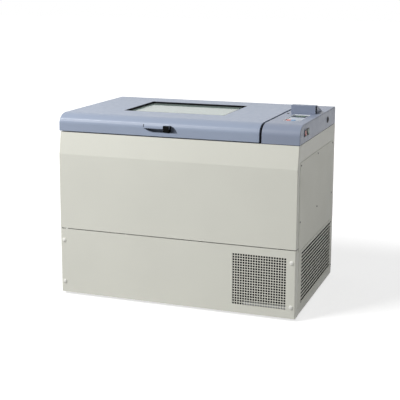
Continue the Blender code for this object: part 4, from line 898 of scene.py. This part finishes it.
def makeWindowSeal():
    low, high = windowBox
    middle = (low + high) / 2
    section = windowSeal["section"]
    blank = bpy.data.objects.new("windowSeal", bpy.data.meshes.new("windowSeal"))
    scene.collection.objects.link(blank)
    grow(blank, sealSweeper, paint["seal"], Width=high.x - low.x - section,
         Depth=high.y - low.y - section, Corner=windowSeal["corner"], SectionWidth=section,
         SectionHeight=high.z - low.z, SectionCorner=windowSeal["sectionCorner"],
         Place=(middle.x, middle.y, middle.z))
    finishPiece(blank, "lid", paint["seal"], "seal_rubber", "window_gasket")


# Front panel: a bent sheet with a field of square holes, one cell repeated by nodes

vent = {"right": 0.5120, "low": 0.0550, "pitch": 0.0116, "columns": 21, "rows": 20, "hole": 0.0087,
        "holeCorner": 0.0014, "sheet": 0.0015, "bend": 0.0060, "bendSteps": 6}


def makeFrontPanel():
    low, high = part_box("front_lower_panel")
    sheet, bend = vent["sheet"], vent["bend"]
    def bentPath(inset):
        # Seen from above, from the right flange round the front to the left flange.
        points = [(high.x - inset, high.y)]
        for side, centre in ((1, high.x - bend), (-1, low.x + bend)):
            arc = []
            for i in range(vent["bendSteps"] + 1):
                angle = 0.5 * math.pi * i / vent["bendSteps"]
                arc.append((centre + side * (bend - inset) * math.cos(angle),
                            low.y + bend - (bend - inset) * math.sin(angle)))
            points += arc if side > 0 else arc[::-1]
        points.append((low.x + inset, high.y))
        return points
    skin = prism("frontPanel", bentPath(0.0) + bentPath(sheet)[::-1], low.z, high.z)
    half = vent["pitch"] / 2
    field = boxOutline(vent["right"] + half - vent["columns"] * vent["pitch"], vent["low"] - half,
                       vent["right"] + half, vent["low"] - half + vent["rows"] * vent["pitch"])
    cut(skin, prism("ventField", field, low.y - cutOverrun, low.y + sheet + cutOverrun, alongY))
    finishPiece(settle(skin), "cabinet", paint["cream"], "cabinet_paint", "front_lower_panel")

    hole = roundedOutline(-vent["hole"] / 2, -vent["hole"] / 2, vent["hole"] / 2, vent["hole"] / 2,
                          vent["holeCorner"], 2)
    rim = [(u * half / max(abs(u), abs(v)), v * half / max(abs(u), abs(v))) for u, v in hole]
    count = len(hole)
    vertices = []
    for outline, level in ((rim, low.y), (hole, low.y), (hole, low.y + sheet), (rim, low.y + sheet)):
        vertices += [alongY(vent["right"] + u, vent["low"] + v, level) for u, v in outline]
    faces = []
    for ring in (0, count, 2 * count):
        for i in range(count):
            j = (i + 1) % count
            faces.append((ring + i, ring + j, ring + count + j, ring + count + i))
    cell = meshObject("ventLattice", vertices, faces)
    outward = cell.data.polygons[0].normal.y < 0
    if not outward:
        cell.data.flip_normals()
    grow(cell, gridRepeater, paint["cream"], Columns=vent["columns"], Rows=vent["rows"],
         ColumnStep=(-vent["pitch"], 0, 0), RowStep=(0, 0, vent["pitch"]))
    finishPiece(cell, "cabinet", paint["cream"], "cabinet_paint", "front_lower_panel")


makeFrontPanel()
print("front panel made")


# Right lower panel: a frame with folded slats, one slat repeated by nodes

louvre = {"slots": 14, "first": 0.0670, "pitch": 0.0163, "slot": 0.0098,
          "front": -0.2715, "back": 0.3085, "flange": 0.0030, "filterBehind": 0.0100, "filterThick": 0.0060, "filterMargin": 0.006}


def makeLouvrePanel():
    low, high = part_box("right_louvre_panel")
    foot = louvre["first"] - louvre["slot"] / 2
    crest = foot + (louvre["slots"] - 1) * louvre["pitch"] + louvre["slot"]
    # The frame and slats take the side cream with painted shade
    surround = prism("louvreFrame", boxOutline(low.y, low.z, high.y, high.z), low.x, high.x, alongX)
    cut(surround, prism("louvreField", boxOutline(louvre["front"], foot, louvre["back"], crest),
                     low.x - cutOverrun, high.x + cutOverrun, alongX))
    finishPiece(settle(surround), "cabinet", paint["creamSide"], "cabinet_paint", "right_louvre_panel")
    sheet = high.x - low.x
    start = foot + louvre["slot"]
    end = start + louvre["pitch"] - louvre["slot"]
    section = [(high.x, start), (high.x, end), (low.x, end), (low.x, start + sheet),
               (low.x - louvre["flange"], start + sheet), (low.x - louvre["flange"], start)]
    slat = lofted("louvreSlats", [[Vector((x, y, z)) for x, z in section]
                                  for y in (louvre["front"] - hairGap, louvre["back"] + hairGap)])
    grow(slat, gridRepeater, paint["creamSide"], Columns=1, Rows=louvre["slots"] - 1,
         ColumnStep=(0, 0, 0), RowStep=(0, 0, louvre["pitch"]))
    finishPiece(slat, "cabinet", paint["creamSide"], "cabinet_paint", "right_louvre_panel")
    # A black foam sheet behind the slats: a dust filter, and painted shade that keeps the slots dark
    margin = louvre["filterMargin"]
    face = low.x - louvre["filterBehind"]
    filterShadeSheet = prism("dustFilterShade", roundedOutline(louvre["front"] - margin, foot - margin,
                                                     louvre["back"] + margin, crest + margin, 0.008),
                        face - louvre["filterThick"], face, alongX)
    finishPiece(settle(filterShadeSheet), "cabinet", paint["filter"], "seal_rubber")


makeLouvrePanel()
print("louvre panel made")


# Pieces that repeat: condenser fins, feet and caps

fins = {"count": 66, "thickness": 0.0006, "depth": 0.030, "tubeRadius": 0.0048, "tubeRows": 7,
        "plate": 0.0016, "trayLeft": 0.057, "trayRight": 0.008, "trayHeight": 0.046, "trayWall": 0.0015}
# Each turned shape is (share of the radius, share of the height), from its base to its crown
footShape = ((0.84, 0), (0.93, 0.04), (1, 0.16), (0.97, 0.6), (0.90, 0.92), (0.86, 1))
capShape = ((1, 0), (0.985, 0.35), (0.93, 0.62), (0.80, 0.80), (0.55, 0.93), (0.25, 0.99), (0.02, 1))
footSides, capSides = 36, 28


def profileOf(shape, radius, base, height):
    return [(share * radius, base + rise * height) for share, rise in shape]


def makeCondenser():
    low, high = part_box("condenser")
    front = high.y - fins["depth"]
    edge = fins["plate"]
    step = (high.x - low.x - 2 * edge - fins["thickness"]) / (fins["count"] - 1)
    left = low.x + edge
    # The fins and tubes are black, partly as painted shade seen through the vent holes
    fin = prism("condenserFins", boxOutline(left, front, left + fins["thickness"], high.y),
                low.z, high.z)
    grow(fin, gridRepeater, paint["darkFins"], Columns=fins["count"], Rows=1,
         ColumnStep=(step, 0, 0), RowStep=(0, 0, 0))
    finishPiece(fin, "cabinet", paint["darkFins"], "fin_black", "condenser")
    rise = (high.z - low.z) / fins["tubeRows"]
    tube = turned("condenserTubes", [(fins["tubeRadius"], low.x), (fins["tubeRadius"], high.x)],
                  ((front + high.y) / 2, low.z + rise / 2), alongX, 16)
    grow(tube, gridRepeater, paint["enamel"], Columns=1, Rows=fins["tubeRows"],
         ColumnStep=(0, 0, 0), RowStep=(0, 0, rise))
    finishPiece(tube, "cabinet", paint["enamel"], "fin_black", "condenser")
    left, right, wall = low.x + fins["trayLeft"], high.x - fins["trayRight"], fins["trayWall"]
    brim = low.z + fins["trayHeight"]
    tray = prism("dripTray", boxOutline(left, low.y, right, front - hairGap), low.z, brim)
    well = prism("dripWell", boxOutline(left + wall, low.y + wall, right - wall, front - wall),
                 low.z + wall, brim + cutOverrun)
    cut(tray, well)
    finishPiece(settle(tray), "cabinet", paint["zinc"], "zinc_steel", "condenser")


def makeFeet():
    low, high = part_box("foot_front_left")
    near, far = middleOf((low, high)), middleOf(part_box("foot_rear_right"))
    profile = profileOf(footShape, (high.x - low.x) / 2, low.z, high.z - low.z)
    foot = turned("rubberFeet", profile, (near.x, near.y), sides=footSides)
    grow(foot, gridRepeater, paint["footRubber"], Columns=2, Rows=2,
         ColumnStep=(far.x - near.x, 0, 0), RowStep=(0, far.y - near.y, 0))
    finishPiece(foot, "cabinet", paint["footRubber"], "foot_rubber",
                "foot_front_left", "foot_front_right", "foot_rear_left", "foot_rear_right")


def makeCaps():
    boxes = [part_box("panel_cap_" + str(i)) for i in (1, 2, 3, 4)]
    left, right = min(b[0].x for b in boxes), max(b[0].x for b in boxes)
    foot, crest = min(b[0].z for b in boxes), max(b[0].z for b in boxes)
    low, high = boxes[0]
    radius = (high.z - low.z) / 2
    profile = profileOf(capShape, radius, high.y, low.y - high.y)
    cap = turned("panelCaps", profile, (left + radius, foot + radius), alongY, capSides)
    grow(cap, gridRepeater, paint["cap"], Columns=2, Rows=2,
         ColumnStep=(right - left, 0, 0), RowStep=(0, 0, crest - foot))
    finishPiece(cap, "cabinet", paint["cap"], "cap_plastic",
                "panel_cap_1", "panel_cap_2", "panel_cap_3", "panel_cap_4")


makeWindowSeal()
makeCondenser()
makeFeet()
makeCaps()
print("repeated pieces made")


# Round machine parts keep their CAD form and get smooth sides, listed by how far edges are rounded

smoothNodes = {
    0.0: ["cabinet_shell", "drive_motor", "compressor", "circulation_fan_motor", "driven_pulley",
          "motor_pulley", "main_eccentric", "left_idler_crank", "right_idler_crank", "drive_belt",
          "circulation_fan", "condenser_fan", "heating_element", "service_socket", "mains_inlet",
          "left_hinge_arm", "right_hinge_arm", "left_hinge_base", "right_hinge_base"],
    0.0006: ["power_rocker", "cooling_rocker", "power_switch_bezel", "cooling_switch_bezel"],
}
for edge, members in smoothNodes.items():
    for node in members:
        smoothCopy(node, paint[finishOf[node]], edge)
print("smooth copies made:", sum(len(members) for members in smoothNodes.values()))


# Screws

screwSets = {
    "sideCoverScrews": {"body": "cabinet", "radius": 0.0042, "height": 0.0018,
                        "turn": (0, math.pi / 2, 0),
                        "x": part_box("right_upper_cover")[1].x,
                        "places": [(-0.318, 0.677), (-0.004, 0.677), (0.305, 0.677),
                                   (-0.318, 0.431), (-0.004, 0.431), (0.305, 0.431)]},
    "louvreScrews": {"body": "cabinet", "radius": 0.0042, "height": 0.0018, "turn": (0, math.pi / 2, 0),
                     "x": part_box("right_louvre_panel")[1].x,
                     "places": [(0.320, 0.281), (0.338, 0.058), (-0.268, 0.060), (-0.268, 0.281)]},
}


def makeScrews():
    for name, screws in screwSets.items():
        mesh = bpy.data.meshes.new(name)
        lift = screws["height"] * 0.15
        mesh.from_pydata([(screws["x"] - lift, y, z) for y, z in screws["places"]], [], [])
        heads = bpy.data.objects.new(name, mesh)
        scene.collection.objects.link(heads)
        grow(heads, screwMaker, paint["darkScrew"], Radius=screws["radius"], Height=screws["height"],
             Turn=screws["turn"])
        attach(heads, screws["body"])


makeScrews()
print("screws set")


# Floor, light and camera

studio = {"floorHalf": 30, "floorTone": 0.58, "floorLift": 0.70, "floorFarLift": 1.0,
          "nearRadius": 1.2, "farRadius": 4.0, "aim": (0, 0, 0.45),
          "keyPower": 345, "keySize": 2.2, "keyPlace": (-2.8, -3.1, 5.0),
          "fillPower": 5, "fillSize": 2.0, "fillPlace": (3.8, -1.6, 0.7), "skyStrength": 0.24}


# 1 for rays that look at the ground, straight or through glass and gloss
def seenDirectly(nodes, links):
    path = nodes.new("ShaderNodeLightPath")
    seen = path.outputs["Is Camera Ray"]
    for ray in ("Is Glossy Ray", "Is Transmission Ray"):
        either = nodes.new("ShaderNodeMath")
        either.operation = "MAXIMUM"
        links.new(seen, either.inputs[0])
        links.new(path.outputs[ray], either.inputs[1])
        seen = either.outputs[0]
    return seen


def makeStage():
    # The floor is pale for the eye everywhere, keeps the shadow, and throws little light back.
    half = studio["floorHalf"]
    corners = [(u, v, 0) for u, v in boxOutline(-half, -half, half, half)]
    floor = meshObject("floor", corners, [(0, 1, 2, 3)])
    material, shader = newMaterial("floorPaper", (*[studio["floorTone"]] * 3, 1.0), 1.0)
    shader.inputs["Specular IOR Level"].default_value = 0.0
    nodes, links = material.node_tree.nodes, material.node_tree.links
    radius = nodes.new("ShaderNodeVectorMath")
    radius.operation = "LENGTH"
    links.new(objectPlace(material), radius.inputs[0])
    lift = spread(material, radius.outputs["Value"], studio["floorLift"], studio["floorFarLift"],
                  studio["nearRadius"], studio["farRadius"])
    shown = nodes.new("ShaderNodeMath")
    shown.operation = "MULTIPLY"
    links.new(lift, shown.inputs[0])
    links.new(seenDirectly(nodes, links), shown.inputs[1])
    shader.inputs["Emission Color"].default_value = (1, 1, 1, 1)
    links.new(shown.outputs[0], shader.inputs["Emission Strength"])
    floor.data.materials.append(material)

    world = bpy.data.worlds.new("studioSky")
    scene.world = world
    world.use_nodes = True
    nodes, links = world.node_tree.nodes, world.node_tree.links
    sky = nodes["Background"]
    sky.inputs["Strength"].default_value = studio["skyStrength"]
    sky.inputs["Color"].default_value = (1, 1, 1, 1)
    white = nodes.new("ShaderNodeBackground")
    white.inputs["Color"].default_value = (1, 1, 1, 1)
    mix = nodes.new("ShaderNodeMixShader")
    links.new(seenDirectly(nodes, links), mix.inputs["Fac"])
    links.new(sky.outputs[0], mix.inputs[1])
    links.new(white.outputs[0], mix.inputs[2])
    links.new(mix.outputs[0], nodes["World Output"].inputs["Surface"])

    aim = Vector(studio["aim"])
    for name in ("key", "fill"):
        lamp = bpy.data.lights.new(name + "Lamp", "AREA")
        lamp.energy = studio[name + "Power"]
        lamp.size = studio[name + "Size"]
        holder = bpy.data.objects.new(name + "Lamp", lamp)
        scene.collection.objects.link(holder)
        holder.location = studio[name + "Place"]
        holder.rotation_euler = (aim - holder.location).to_track_quat("-Z", "Y").to_euler()


def makeCamera():
    cameraSet = {"azimuth": 19.813, "elevation": 10.635, "roll": 0.148, "distance": 4.531,
                 "target": (-0.0075, 0.0, 0.6074), "focalPixels": 957.26, "framePixels": 400,
                 "sensor": 36.0, "shiftUp": -0.1}
    lens = bpy.data.cameras.new("photoCamera")
    lens.sensor_width = cameraSet["sensor"]
    lens.lens = cameraSet["focalPixels"] / cameraSet["framePixels"] * cameraSet["sensor"]
    lens.shift_y = cameraSet["shiftUp"]
    camera = bpy.data.objects.new("photoCamera", lens)
    scene.collection.objects.link(camera)
    a, e = math.radians(cameraSet["azimuth"]), math.radians(cameraSet["elevation"])
    back = Vector((math.sin(a) * math.cos(e), -math.cos(a) * math.cos(e), math.sin(e)))
    camera.location = Vector(cameraSet["target"]) + back * cameraSet["distance"]
    facing = (-back).to_track_quat("-Z", "Y").to_matrix()
    roll = math.radians(cameraSet["roll"])
    right, up = facing.col[0].copy(), facing.col[1].copy()
    facing.col[0] = right * math.cos(roll) + up * math.sin(roll)
    facing.col[1] = up * math.cos(roll) - right * math.sin(roll)
    camera.rotation_euler = facing.to_euler()
    scene.camera = camera


makeStage()
makeCamera()
print("stage and camera placed")
